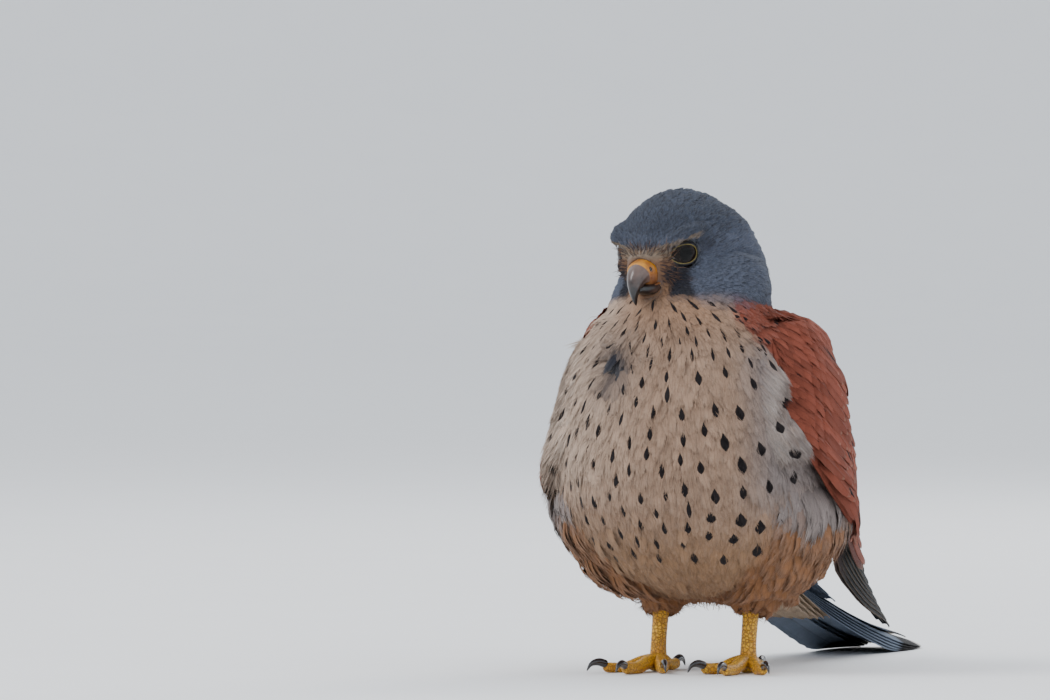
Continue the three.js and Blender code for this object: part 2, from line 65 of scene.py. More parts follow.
# The head's own frame, as in the solids: forward is -Y.
HEAD_ORIGIN = (-7, -22, 150.4)
HEAD_YAW = math.radians(10)
HEAD_PITCH = math.radians(8)
HEAD = (
    Matrix.Translation(HEAD_ORIGIN)
    @ Matrix.Rotation(-HEAD_YAW, 4, "Z")
    @ Matrix.Rotation(HEAD_PITCH, 4, "X")
)
HEAD_TURN = np.array(HEAD.to_3x3())

# The eye, in the head's frame: a ball, and an opening a little wider than it is high.
EYE_RADIUS = 6.1
EYE_PLACE = (10.0, -8.2, 0.4)
EYE_AIM = math.radians(30)
EYE_OPENING = 5.4
EYE_SQUINT = 0.63
EYE_FLAT = 2.4  # above this height the ball is flatter

# The wing's sheet: its spine from wrist to tip, and which way it faces along it.
WING_SPINE = ((38, -33, 108), (47, -6, 99), (44, 30, 82), (33, 67, 60), (22, 107, 41.5),
              (13.5, 147, 28.5), (6, 187, 17.5))
WING_OUTWARD = ((0.84, -0.5, 0.22), (0.98, -0.02, 0.2), (0.94, 0.2, 0.26), (0.9, 0.16, 0.42),
                (0.74, 0.12, 0.66), (0.55, 0.1, 0.83), (0.38, 0.08, 0.92))
WING_BOW = (44, 56)
WING_REST = 3.6
TORSO_AXIS = -4
ARM_EDGES = ((-19, 18), (-27, 33), (-30, 41), (-21, 31))
ARM_END = 0.42

# The tail's sheet.
TAIL_LENGTH = 160
TAIL_SPINE = ((0, 56, 40), (0, 56 + 0.32 * TAIL_LENGTH, 24), (0, 56 + 0.66 * TAIL_LENGTH, 12),
              (0, 54 + TAIL_LENGTH, 4.2))
TAIL_BOW = 34
FLOOR_GAP = 0.5  # the least height of a tail feather over the floor
FLOOR_BEND = 0.8  # how softly the tail bends away from it


def to_row(points):
    """Points in the bird's frame, in millimetres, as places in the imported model's frame."""
    return (np.asarray(points, float) + (0, -BODY_AHEAD, 0)) * MM


def mix(a, b, t):
    return a + (b - a) * t


def smooth(x, low, high):
    t = np.clip((np.asarray(x, float) - low) / (high - low), 0, 1)
    return t * t * (3 - 2 * t)


def bump(x, middle, width):
    """A soft rise to 1 where x is at the middle."""
    return np.exp(-(((x - middle) / width) ** 2))


def unit(v):
    return v / np.maximum(np.linalg.norm(v, axis=-1, keepdims=True), 1e-9)


def spline(table, u):
    """A smooth curve through a table's rows, read at u from 0 to 1."""
    rows = np.asarray(table, float)
    padded = np.vstack([2 * rows[0] - rows[1], rows, 2 * rows[-1] - rows[-2]])
    x = np.clip(np.asarray(u, float), 0, 1) * (len(rows) - 1)
    i = np.minimum(x.astype(int), len(rows) - 2)
    t = (x - i)[..., None]
    p0, p1, p2, p3 = padded[i], padded[i + 1], padded[i + 2], padded[i + 3]
    m1, m2 = (p2 - p0) / 2, (p3 - p1) / 2
    return (p1 + m1 * t + (3 * (p2 - p1) - 2 * m1 - m2) * t**2
            + (2 * (p1 - p2) + m1 + m2) * t**3)


def heading(table, u):
    return unit(spline(table, np.asarray(u) + 1e-3) - spline(table, np.asarray(u) - 1e-3))


def colour(value):
    """A screen colour written as 0xRRGGBB, as the linear colour that shaders take."""
    parts = np.array([value >> 16 & 255, value >> 8 & 255, value & 255]) / 255
    return np.where(parts <= 0.04045, parts / 12.92, ((parts + 0.055) / 1.055) ** 2.4)


# Plumage colours.
SLATE = colour(0x4B5160)
CROWN = colour(0x3B414E)
CHEEK = colour(0x4A505E)
MALAR = colour(0x20212A)
PALE = colour(0xA8937E)
BROW = colour(0x80705F)
LORE = colour(0x775740)
GAPE = colour(0x3A2824)
THROAT = colour(0x8C6A50)
BUFF = colour(0x957A66)
# The next two carry painted light and shade: a paler breast tone for the lit right side and a greyer,
# darker flank tone for the shaded left side.
BREAST_PALE_LIT = colour(0xB09A88)
FLANK_WITH_SHADE = colour(0x7F7470)
BELLY = colour(0x8A6B50)
THIGH = colour(0x80583A)
PARTED = colour(0x23242C)
DOWN = colour(0x554F4B)
CHESTNUT = colour(0x7B4234)
RUMP = colour(0x66707F)
QUILL = colour(0x121011)
INK = colour(0x1C1718)
WHITE = colour(0xD6D1C9)
TAIL_GREY = colour(0x66707F)
HUES = {"slate": SLATE, "chestnut": CHESTNUT, "buff": BUFF, "ink": INK}


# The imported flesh, as ray targets in the bird's frame.
def node_tree(*names):
    vertices = []
    faces = []
    for name in names:
        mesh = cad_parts[name].data
        start = len(vertices)
        vertices += [v.co / MM + Vector((0, BODY_AHEAD, 0)) for v in mesh.vertices]
        faces += [[start + i for i in p.vertices] for p in mesh.polygons]
    return BVHTree.FromPolygons(vertices, faces)


TORSO_TREE = node_tree("torso")


def clear_of_torso(points, clearance, hug):
    """Moves points level outwards until they clear the torso; hug draws far ones in to it."""
    flat = points.reshape(-1, 3).copy()
    wanted = np.broadcast_to(clearance, points.shape[:-1]).ravel()
    drawn = np.broadcast_to(hug, points.shape[:-1]).ravel()
    for i, p in enumerate(flat):
        away = Vector((p[0], p[1] - TORSO_AXIS, 0))
        out = away.length
        hit = TORSO_TREE.ray_cast(Vector((0, TORSO_AXIS, p[2])), away / out)[3]
        if hit is None:
            continue
        reach = hit + wanted[i]
        scale = reach / out if out < reach else mix(1, reach / out, drawn[i])
        flat[i, :2] = (away.x * scale, TORSO_AXIS + away.y * scale)
    return flat.reshape(points.shape)


def on_sheet(spine, outward, s, t, lift, bow):
    """A point on a bowed sheet along a spine: t across it, lift above it, bow its radius."""
    centre = spline(spine, s)
    ahead = heading(spine, s)
    across = unit(np.cross(ahead, outward))
    out = np.cross(across, ahead)
    t, lift = np.asarray(t, float)[..., None], np.asarray(lift, float)[..., None]
    bow = np.asarray(bow, float)[..., None] if np.ndim(bow) else bow
    return (centre + out * ((bow + lift) * np.cos(t / bow) - bow)
            + across * ((bow + lift) * np.sin(t / bow)))


def on_wing(s, t, lift):
    """The left wing's sheet: s from wrist to tip, t across it in mm, minus towards the back."""
    s, t, lift = np.broadcast_arrays(np.asarray(s, float), t, lift)
    point = on_sheet(WING_SPINE, spline(WING_OUTWARD, s), s, t, lift, mix(*WING_BOW, s))
    hug = smooth(-t, 0, 22) * (1 - smooth(s, 0.2, 0.42))
    rest = mix(-6, WING_REST, smooth(s, -0.04, 0.1)) - 4 * smooth(-t, 4, 20) * smooth(s, 0.32, 0.1)
    return clear_of_torso(point, rest + lift, hug)


def on_tail(s, t, lift):
    """The tail's sheet: s from rump to tip, t across it in mm, held just clear of the floor."""
    s, t, lift = np.broadcast_arrays(np.asarray(s, float), t, lift)
    side = np.broadcast_to((1.0, 0.0, 0.0), s.shape + (3,))
    ahead = heading(TAIL_SPINE, s)
    point = on_sheet(TAIL_SPINE, np.cross(side, ahead), s, t, lift, TAIL_BOW)
    above = (point[..., 2] - FLOOR_GAP) / FLOOR_BEND
    point[..., 2] = FLOOR_GAP + FLOOR_BEND * np.logaddexp(0, above)
    return point


# Materials.
class Tree:
    """A material's node tree, with short names for the nodes used here."""

    def __init__(self, name, **sockets):
        self.material = bpy.data.materials.new(name)
        self.material.use_nodes = True
        self.nodes = self.material.node_tree.nodes
        self.links = self.material.node_tree.links
        self.shader = self.nodes["Principled BSDF"]
        for socket, value in sockets.items():
            self.shader.inputs[socket.replace("_", " ")].default_value = value

    def put(self, node, socket, value):
        if hasattr(value, "links"):
            self.links.new(value, node.inputs[socket])
        else:
            node.inputs[socket].default_value = value

    def set(self, socket, value):
        self.put(self.shader, socket, value)

    def math(self, operation, a, b=0.0, c=0.0):
        node = self.nodes.new("ShaderNodeMath")
        node.operation = operation
        for socket, value in enumerate((a, b, c)):
            self.put(node, socket, value)
        return node.outputs[0]

    def step(self, value, low, high):
        node = self.nodes.new("ShaderNodeMapRange")
        node.interpolation_type = "SMOOTHSTEP"
        for socket, entry in enumerate((value, low, high)):
            self.put(node, socket, entry)
        return node.outputs[0]

    def blend(self, factor, a, b):
        node = self.nodes.new("ShaderNodeMix")
        node.data_type = "RGBA"
        for socket, value in ((0, factor), (6, a), (7, b)):
            if not hasattr(value, "links") and socket:
                value = (*value, 1)
            self.put(node, socket, value)
        return node.outputs[2]

    def scale(self, colour_in, factor):
        node = self.nodes.new("ShaderNodeVectorMath")
        node.operation = "SCALE"
        self.put(node, 0, colour_in)
        self.put(node, 3, factor)
        return node.outputs[0]

    def place(self):
        return self.nodes.new("ShaderNodeTexCoord").outputs["Object"]

    def noise(self, scale, detail):
        node = self.nodes.new("ShaderNodeTexNoise")
        self.put(node, "Vector", self.place())
        self.put(node, "Scale", scale)
        self.put(node, "Detail", detail)
        return node.outputs[0]

    def cells(self, scale, feature="F1"):
        node = self.nodes.new("ShaderNodeTexVoronoi")
        node.feature = feature
        self.put(node, "Vector", self.place())
        self.put(node, "Scale", scale)
        return node.outputs["Distance"]

    def attribute(self, name, output="Fac"):
        node = self.nodes.new("ShaderNodeAttribute")
        node.attribute_name = name
        return node.outputs[output]

    def parts(self, vector):
        node = self.nodes.new("ShaderNodeSeparateXYZ")
        self.put(node, 0, vector)
        return node.outputs

    def bump(self, height, strength, distance):
        node = self.nodes.new("ShaderNodeBump")
        self.put(node, "Height", height)
        self.put(node, "Strength", strength)
        self.put(node, "Distance", distance)
        self.set("Normal", node.outputs[0])


def plumage_material(name, barbs, slant, groove, gloss, shine, sheen):
    """Feather vanes: tint at each point, dark drops, and the lines of the shaft and barbs.

    "mark" tells how far a point is from the nearest drop, in half widths and half lengths.
    """
    tree = Tree(name, Roughness=gloss, Sheen_Weight=sheen, Sheen_Roughness=0.5)
    tree.set("Specular IOR Level", shine)
    vane = tree.nodes.new("ShaderNodeUVMap")
    vane.uv_map = "vane"
    across_uv, along, _ = tree.parts(vane.outputs[0])
    across = tree.math("MULTIPLY_ADD", across_uv, 2.0, -1.0)
    off = tree.math("ABSOLUTE", across)
    beside, below, _ = tree.parts(tree.attribute("mark", "Vector"))
    held = tree.math("MULTIPLY_ADD", below, 0.5, 0.5)
    held = tree.math("MINIMUM", tree.math("MAXIMUM", held, 0.0), 1.0)
    bulge = tree.math("SINE", tree.math("MULTIPLY", tree.math("POWER", held, 1.35), math.pi))
    rough = tree.math("MULTIPLY_ADD", tree.noise(900.0, 2.0), 0.5, 0.75)
    spread = tree.math("MULTIPLY", tree.math("ABSOLUTE", beside), rough)
    drop = tree.step(tree.math("DIVIDE", spread, tree.math("MAXIMUM", bulge, 0.001)), 1.15, 0.8)
    lean = tree.math("MULTIPLY", off, slant)
    lines = tree.math("SINE", tree.math("MULTIPLY_ADD", along, barbs, lean))
    shaft = tree.step(off, 0.09, 0.02)
    patch = tree.math("MULTIPLY_ADD", tree.noise(150.0, 4.0), 0.5, 0.75)
    fine = tree.math("MULTIPLY_ADD", tree.noise(2200.0, 2.0), 0.4, 0.8)
    shade = tree.math("MULTIPLY", tree.math("MULTIPLY", patch, fine),
                      tree.math("MULTIPLY_ADD", lines, 0.06, 0.99))
    base = tree.scale(tree.attribute("tint", "Color"), shade)
    lined = tree.blend(tree.math("MULTIPLY", shaft, 0.22), base, HUES["ink"])
    tree.set("Base Color", tree.blend(drop, lined, HUES["ink"]))
    tree.bump(tree.math("ADD", lines, tree.math("MULTIPLY", shaft, 2.0)), groove, 0.0002)
    return tree.material


def skin_material():
    tree = Tree("downy skin", Roughness=0.9, Sheen_Weight=0.3)
    tree.set("Specular IOR Level", 0.15)
    down = tree.noise(700.0, 5.0)
    shade = tree.math("MULTIPLY_ADD", down, 0.7, 0.5)
    tree.set("Base Color", tree.scale(tree.attribute("tint", "Color"), shade))
    tree.bump(down, 0.7, 0.0008)
    return tree.material


def horn_material():
    """Bill horn: blue grey at the base, black towards the tip, with growth lines."""
    tree = Tree("bill horn", Roughness=0.28, Coat_Weight=0.35, Coat_Roughness=0.12)
    fade = tree.attribute("fade")
    streaks = tree.noise(420.0, 5.0)
    wear = tree.math("MULTIPLY_ADD", streaks, 0.35, -0.17)
    mixed = tree.step(tree.math("ADD", fade, wear), 0.25, 0.78)
    base = tree.blend(mixed, colour(0x6A544B), colour(0x121113))
    tree.set("Base Color", base)
    tree.bump(streaks, 0.25, 0.0003)
    return tree.material


def cere_material():
    tree = Tree("cere skin", Roughness=0.42, Subsurface_Weight=0.15)
    tree.set("Subsurface Radius", (0.002, 0.001, 0.0005))
    grain = tree.cells(1500.0)
    patches = tree.noise(260.0, 4.0)
    base = tree.blend(tree.step(patches, 0.35, 0.7), colour(0xC08122), colour(0x94591C))
    # Dark brown over the lower cere, by its fade layer: painted shade on the underside, as the cere
    # itself is yellow all over.
    low = tree.math("MULTIPLY", tree.attribute("fade"), 0.75)
    tree.set("Base Color", tree.blend(low, base, colour(0x5E3A2A)))
    tree.bump(grain, 0.35, 0.0002)
    return tree.material


def leg_material():
    tree = Tree("leg scales", Roughness=0.42, Subsurface_Weight=0.1)
    tree.set("Subsurface Radius", (0.002, 0.001, 0.0005))
    edge = tree.cells(780.0, "DISTANCE_TO_EDGE")
    plates = tree.step(edge, 0.02, 0.16)
    patches = tree.noise(190.0, 3.0)
    skin = tree.blend(tree.step(patches, 0.3, 0.75), colour(0xE3AC25), colour(0xC98A1B))
    tree.set("Base Color", tree.blend(plates, colour(0x9A6A1C), skin))
    tree.bump(plates, 0.8, 0.0004)
    return tree.material


def claw_material():
    tree = Tree("claw horn", Roughness=0.22, Coat_Weight=0.4, Coat_Roughness=0.1)
    streaks = tree.noise(500.0, 4.0)
    tree.set("Base Color", tree.blend(streaks, colour(0x0F0E10), colour(0x2C2A2E)))
    tree.bump(streaks, 0.2, 0.0002)
    return tree.material


def eye_material():
    """Very dark brown iris round a black pupil, under a wet clear surface."""
    tree = Tree("dark eye", Roughness=0.03, IOR=1.36)
    tree.set("Specular IOR Level", 0.26)
    out = tree.attribute("fade")
    fibres = tree.noise(900.0, 4.0)
    iris = tree.blend(fibres, colour(0x0B0705), colour(0x1C100A))
    tree.set("Base Color", tree.blend(tree.step(out, 0.42, 0.5), (0.002, 0.002, 0.002), iris))
    return tree.material


def lid_material():
    tree = Tree("eye ring skin", Roughness=0.5)
    grain = tree.cells(1700.0)
    base = tree.blend(tree.step(grain, 0.1, 0.5), colour(0x3E3618), colour(0x74652C))
    dark = tree.attribute("fade")
    tree.set("Base Color", tree.blend(dark, base, colour(0x2A2A30)))
    tree.bump(grain, 0.5, 0.0002)
    return tree.material


def stage_material(name, shade):
    tree = Tree(name, Roughness=0.9)
    speckle = tree.noise(18.0, 4.0)
    tree.set("Base Color", tree.blend(speckle, (shade * 0.97,) * 3, (shade,) * 3))
    return tree.material


# Meshes.
def new_object(name, mesh, material):
    piece = bpy.data.objects.new(name, mesh)
    bpy.context.scene.collection.objects.link(piece)
    mesh.materials.append(material)
    mesh.shade_smooth()
    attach(piece, BODY)
    return piece


def bm_object(name, bm, material):
    """Ends a bmesh in the bird's frame: normals out, moved to the row frame, made an object."""
    bmesh.ops.remove_doubles(bm, verts=bm.verts, dist=1e-4)
    bmesh.ops.recalc_face_normals(bm, faces=bm.faces)
    shift = Matrix.Scale(MM, 4) @ Matrix.Translation((0, -BODY_AHEAD, 0))
    bm.transform(shift)
    mesh = bpy.data.meshes.new(name)
    bm.to_mesh(mesh)
    bm.free()
    return new_object(name, mesh, material)


def loft(bm, around, along, point, fade):
    """Adds a closed skin with poles at u = 0 and 1, placed by point(u, angle)."""
    layer = bm.verts.layers.float.get("fade") or bm.verts.layers.float.new("fade")
    made = bmesh.ops.create_uvsphere(bm, u_segments=around, v_segments=along, radius=1)["verts"]
    for vertex in made:
        x, y, z = vertex.co
        u = math.acos(max(-1, min(1, z))) / math.pi
        vertex.co = point(u, math.atan2(y, x))
        vertex[layer] = fade(u) if fade else u
    return made


def limb(bm, spine, half, around, along, place=Matrix(), fade=None, bumps=None, level=None):
    """A tapered round limb along a curve, with rounded ends, as the solids have them."""
    def point(u, angle):
        centre = spline(spine, np.array(u))
        ahead = heading(spine, np.array(u))
        across = np.cross(ahead, UP) if level is None else np.array(level, float)
        across = unit(across) if np.linalg.norm(across) > 0.03 else np.array([1.0, 0, 0])
        rise = np.cross(across, ahead)
        width, height = spline(half, np.array(u))[:2]
        end = min(u, 1 - u) / 0.08
        swell = math.sqrt(1 - (1 - end) ** 2) if end < 1 else 1
        if bumps:
            swell *= bumps(u, angle)
        co = (centre + across * (swell * width * math.cos(angle))
              + rise * (swell * height * math.sin(angle)))
        return place @ Vector(co)
    return loft(bm, around, along, point, fade)


def array_mesh(name, points, faces, layers):
    """A joined mesh from arrays: points in the bird's frame, faces of one size, and layers."""
    mesh = bpy.data.meshes.new(name)
    count, size = faces.shape
    mesh.vertices.add(len(points))
    mesh.vertices.foreach_set("co", to_row(points).astype(np.float32).ravel())
    mesh.loops.add(faces.size)
    mesh.loops.foreach_set("vertex_index", faces.astype(np.int32).ravel())
    mesh.polygons.add(count)
    mesh.polygons.foreach_set("loop_start", np.arange(0, faces.size, size, dtype=np.int32))
    mesh.update(calc_edges=True)
    for title, values in layers.items():
        if title in ("vane", "OFBake"):
            uv = mesh.uv_layers.new(name=title)
            uv.data.foreach_set("uv", values[faces.ravel()].astype(np.float32).ravel())
        elif title == "tint":
            layer = mesh.attributes.new(title, "FLOAT_COLOR", "POINT")
            solid = np.hstack([values, np.ones((len(values), 1))])
            layer.data.foreach_set("color", solid.astype(np.float32).ravel())
        else:
            layer = mesh.attributes.new(title, "FLOAT_VECTOR", "POINT")
            layer.data.foreach_set("vector", values.astype(np.float32).ravel())
    return mesh


def grid_faces(rows, across):
    """The point numbers of a sheet of rows, and its four-cornered faces."""
    grid = np.arange(rows * across).reshape(rows, across)
    corners = [grid[:-1, :-1], grid[:-1, 1:], grid[1:, 1:], grid[1:, :-1]]
    return grid, np.stack(corners, axis=-1).reshape(-1, 4)


# Places and markings: one set that the skin and every feather read.
def in_head(points):
    """Points in the head's own frame, as side, forward and up."""
    local = (points - np.array(HEAD_ORIGIN)) @ HEAD_TURN
    return local[:, 0], -local[:, 1], local[:, 2]


def eye_frame(side):
    """The eye's own frame: out along +Z, up along +Y, with the nape towards side * X."""
    out = Vector((side * math.cos(EYE_AIM), -math.sin(EYE_AIM), 0.04)).normalized()
    back = Vector((0, side, 0))
    back = (back - out * back.dot(out)).normalized()
    turn = Matrix((back, out.cross(back), out)).transposed().to_4x4()
    return HEAD @ Matrix.Translation((side * EYE_PLACE[0], *EYE_PLACE[1:])) @ turn


def eye_level(x, y):
    """How far out the eyeball's surface is, off its axis."""
    ball = np.sqrt(np.maximum(EYE_RADIUS**2 - x**2 - y**2, 0))
    return np.where(ball > EYE_FLAT, mix(EYE_FLAT, ball, 0.62), ball)


def round_eye(points, side):
    """Points seen from an eye: how far ahead, up and out, and from its axis, squint allowed."""
    local = np.array(eye_frame(side).inverted())
    x, y, z = (points @ local[:3, :3].T + local[:3, 3]).T
    return -side * x, y, z, np.hypot(x, y / EYE_SQUINT)


def bearing(points):
    """Degrees round the body from the breast, plus on the left and minus on the right."""
    return np.degrees(np.arctan2(points[:, 0], TORSO_AXIS - points[:, 1]))


def mantle_edge(points):
    """The bearing where buff gives way to chestnut, further forward on the left shoulder."""
    z = points[:, 2]
    return np.where(points[:, 0] > 0, 62 - 26 * smooth(z, 102, 131), 80 + 20 * smooth(z, 96, 112))


def hood_edge(points):
    """The level of the grey hood's lower edge."""
    return 134.5 - 3.5 * smooth(np.abs(bearing(points)), 30, 80)


PARTED_PLACE = np.array([-17.8, -47.0, 109.0])


def parted(points):
    """How much the breast's feathers part at points, showing the grey down."""
    away = (points - PARTED_PLACE) / (7.5, 12.0, 10.0)
    return np.exp(-np.sum(away**2, axis=1) * 1.1)


def ripple(points, scale, shift=0.0):
    """Smooth noise from -1 to 1 at points."""
    return np.array([noise.noise(Vector(p) * scale + Vector((shift, 0, 0))) for p in points])


def lay(base, share, tone):
    return mix(base, tone, np.clip(share, 0, 1)[:, None])


def paint_body(points):
    z = points[:, 2]
    turn = bearing(points)
    round_body = np.abs(turn)
    tone = np.broadcast_to(HUES["buff"], points.shape)
    # Painted light on the right side of the breast, laid paler, and painted shade on the left flank,
    # laid greyer and darker.
    tone = lay(tone, smooth(turn, 5, -45) * smooth(z, 58, 80) * 0.85, BREAST_PALE_LIT)
    tone = lay(tone, smooth(turn, 28, 50) * smooth(z, 54, 72) * smooth(z, 124, 110), FLANK_WITH_SHADE)
    tone = lay(tone, smooth(z, 66, 40), BELLY)
    tone = lay(tone, smooth(turn, 42, 66) * smooth(z, 66, 52), THIGH)
    tone = lay(tone, smooth(-turn, 60, 90) * smooth(z, 52, 40), THIGH)
    tone = lay(tone, smooth(z, 114, 130) * smooth(round_body, 50, 15) * 0.7, THROAT)
    tone = lay(tone, parted(points) * 1.25, PARTED)
    edge = mantle_edge(points)
    low = mix(92, 46, np.clip((round_body - 62) / 50, 0, 1))
    back = smooth(round_body, edge - 3, edge + 3) * smooth(z, low - 4, low + 4)
    tone = lay(tone, back, HUES["chestnut"])
    return lay(tone, smooth(round_body, 120, 150) * smooth(z, 74, 62) * smooth(z, 36, 44), RUMP)


def paint_head(points):
    side, front, up = in_head(points)
    reach = np.abs(side)
    tone = np.broadcast_to(HUES["slate"], points.shape)
    tone = lay(tone, smooth(up, 2, 10), CROWN)
    tone = lay(tone, smooth(up, 1, -7) * smooth(front, 8, -1), CHEEK)
    tone = lay(tone, smooth(front, 11, 14.5) * smooth(up, 4.5, 1.5) * smooth(up, -9, -4), BROW)
    tone = lay(tone, smooth(front, 9.5, 13) * smooth(up, 1.5, -2) * smooth(up, -11, -7), LORE)
    gape = np.hypot((front - 12) / 2.5, up + 8.4)
    tone = lay(tone, smooth(gape, 1.6, 0.5) * 0.8, GAPE)
    for _, eye in SIDES:
        ahead, rise, out, _ = round_eye(points, eye)
        near = smooth(out, -3, 0)
        brow = np.abs(rise - 5.3 + 0.2 * ahead + 0.012 * ahead**2)
        tone = lay(tone, smooth(brow, 0.95, 0.4) * smooth(ahead, -8, -5) * near * 0.85, BROW)
        behind = np.hypot((ahead + 8.5) / 1.4, rise - 2)
        tone = lay(tone, smooth(behind, 4.5, 1.5) * near * 0.55, MALAR)
        light = np.hypot((ahead + 9) / 1.5, rise + 3.5)
        tone = lay(tone, smooth(light, 4, 0.5) * near * 0.5, CHEEK * 1.25)
        down = np.clip((-7 - rise) / 6, 0, 1)
        malar = np.hypot(ahead - mix(3.8, 4.4, down), rise - mix(-7, -13, down))
        tone = lay(tone, smooth(malar, 5.4, 3.2) * smooth(out, -11, -6), MALAR)
    chin = smooth(up, -8, -10.5) * smooth(front, 3, 8) * smooth(reach, 9.5, 7)
    return lay(tone, chin, THROAT)


def paint(points):
    """The plumage's colour at points of the bird, before marks."""
    edge = hood_edge(points)
    blur = 1.5 + 3.5 * smooth(np.abs(bearing(points) - 34), 24, 8)
    share = smooth(points[:, 2], edge - 1.4 * blur, edge + 0.6 * blur)
    return lay(paint_body(points), share, paint_head(points))


def flow(points, normals):
    """Which way the feathers lie: away from the bill and the eyes, then down and back."""
    _, y, z = points.T
    from_bill = unit(points - np.array(HEAD @ Vector((0, -22, -4))))
    to_tail = unit(np.array([0, 95.0, 14.0]) - points)
    down = np.broadcast_to((0, 0.18, -1.0), points.shape)
    lie = mix(from_bill, mix(down, to_tail, 0.22), smooth(z, 144, 112)[:, None])
    lie = mix(lie, to_tail, (smooth(y, 0, 25) * smooth(z, 140, 120))[:, None])
    for _, side in SIDES:
        place = np.array(eye_frame(side))
        _, _, out, ring = round_eye(points, side)
        away = points - place[:3, 3]
        away = unit(away - place[:3, 2] * (away @ place[:3, 2])[:, None])
        lie = lie + away * (smooth(ring, 9.5, 5.5) * smooth(out, -3, 1))[:, None]
    lie = lie + unit(points - PARTED_PLACE) * (1.4 * parted(points))[:, None]
    lie = lie - normals * np.sum(lie * normals, axis=1, keepdims=True)
    return unit(lie)


def unwrap(points):
    """A place for each root on a sphere unwrap of the body's own shape."""
    away = unit(points - (0, TORSO_AXIS, 84.0))
    turn = np.arctan2(away[:, 0], -away[:, 1]) / (2 * math.pi) + 0.5
    return np.column_stack([mix(0.02, 0.98, turn), mix(0.02, 0.98, away[:, 2] / 2 + 0.5)])


# The skin under the coat.
SKIN_NODES = ("head", "neck", "torso", "thigh_left", "thigh_right")
SKIN_VOXEL = 1.15
COAT_DEPTH = {"face": 0.7, "head": 1.2, "shank": 2.2, "body": 3.4}


def coat_depth(points):
    front = in_head(points)[1]
    z = points[:, 2]
    head = mix(COAT_DEPTH["head"], COAT_DEPTH["face"], smooth(front, -4, 8))
    body = mix(COAT_DEPTH["body"], COAT_DEPTH["shank"], smooth(z, 40, 24))
    return mix(body, head, smooth(z, 126, 136))


def fullness(points):
    """The hood's raised feathers round the crown and nape, and the crease below them."""
    back = smooth(in_head(points)[1], 4, -8)
    z = points[:, 2]
    crown = 1.3 * bump(z, 161, 6)
    nape = mix(0.4, 2.7, back) * bump(z, 148, 8)
    nape = nape + 1.4 * back * bump(z, 144.8, 2.2)
    return crown + nape - 2.0 * back * bump(z, 132, 4.5)


def shape_orbits(points):
    """Draws the skin up to the ring round each eye, with a low brow over it."""
    for _, side in SIDES:
        ahead, rise, out, ring = round_eye(points, side)
        ball = eye_level(ahead, rise)
        inner = np.minimum(1, 5.5 / np.maximum(ring, 0.1))
        lip = eye_level(ahead * inner, rise * inner) + 0.3 - 0.4 * np.maximum(ring - 5.8, 0)
        drawn = mix(out, np.maximum(out, lip), smooth(ring, 9.5, 7))
        brow = bump(rise + 0.2 * ahead, 5.8, 1.5) * smooth(np.abs(ahead), 9, 4)
        drawn = drawn + (0.8 + 0.9 * smooth(ahead, -1, 4)) * brow
        drawn = np.where(ring < 5.1, np.minimum(drawn, ball - 0.8), drawn)
        near = (ring < 11) & (out > -1.5)
        points = points + np.array(eye_frame(side))[:3, 2] * np.where(near, drawn - out, 0)[:, None]
    return points


def flesh_mesh():
    """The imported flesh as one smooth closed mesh, in the row frame."""
    bm = bmesh.new()
    for name in SKIN_NODES:
        bm.from_mesh(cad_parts[name].data)
    bmesh.ops.remove_doubles(bm, verts=bm.verts, dist=1e-6)
    bm.normal_update()
    for vertex in bm.verts:
        vertex.co += vertex.normal * 0.35 * MM
    mesh = bpy.data.meshes.new("skin_source")
    bm.to_mesh(mesh)
    bm.free()
    source = bpy.data.objects.new("skin_source", mesh)
    bpy.context.scene.collection.objects.link(source)
    remesh = source.modifiers.new("remesh", "REMESH")
    remesh.mode = "VOXEL"
    remesh.voxel_size = SKIN_VOXEL * MM
    soften = source.modifiers.new("soften", "SMOOTH")
    soften.factor = 0.5
    soften.iterations = 14
    graph = bpy.context.evaluated_depsgraph_get()
    skin = bpy.data.meshes.new_from_object(source.evaluated_get(graph))
    bpy.data.objects.remove(source)
    bpy.data.meshes.remove(mesh)
    return skin


def vertex_arrays(mesh):
    """A mesh's vertices in the bird's frame, and their normals."""
    arrays = []
    for field in ("co", "normal"):
        flat = np.empty(len(mesh.vertices) * 3, np.float32)
        mesh.vertices.foreach_get(field, flat)
        arrays.append(flat.reshape(-1, 3).astype(float))
    return arrays[0] / MM + (0, BODY_AHEAD, 0), arrays[1]


def build_skin(gap):
    skin = flesh_mesh()
    points, normals = vertex_arrays(skin)
    points = shape_orbits(points + normals * (fullness(points) - coat_depth(points))[:, None])
    skin.vertices.foreach_set("co", to_row(points).astype(np.float32).ravel())
    skin.update()
    marks = Marks(Ground(skin), gap)
    x, y, _ = np.moveaxis(marks.offsets(points[:, None], points)[:, 0], 1, 0)
    tone = lay(mix(paint(points), DOWN, 0.2), smooth(np.hypot(x, y), 1.3, 0.7), HUES["ink"])
    tone = np.hstack([tone, np.ones((len(points), 1))])
    layer = skin.attributes.new("tint", "FLOAT_COLOR", "POINT")
    layer.data.foreach_set("color", tone.astype(np.float32).ravel())
    skin.name = "plumage_skin"
    piece = new_object("plumage_skin", skin, skin_material())
    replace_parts(piece, *SKIN_NODES)
    return piece


NO_MARK = 9.0  # an offset that lies outside every drop


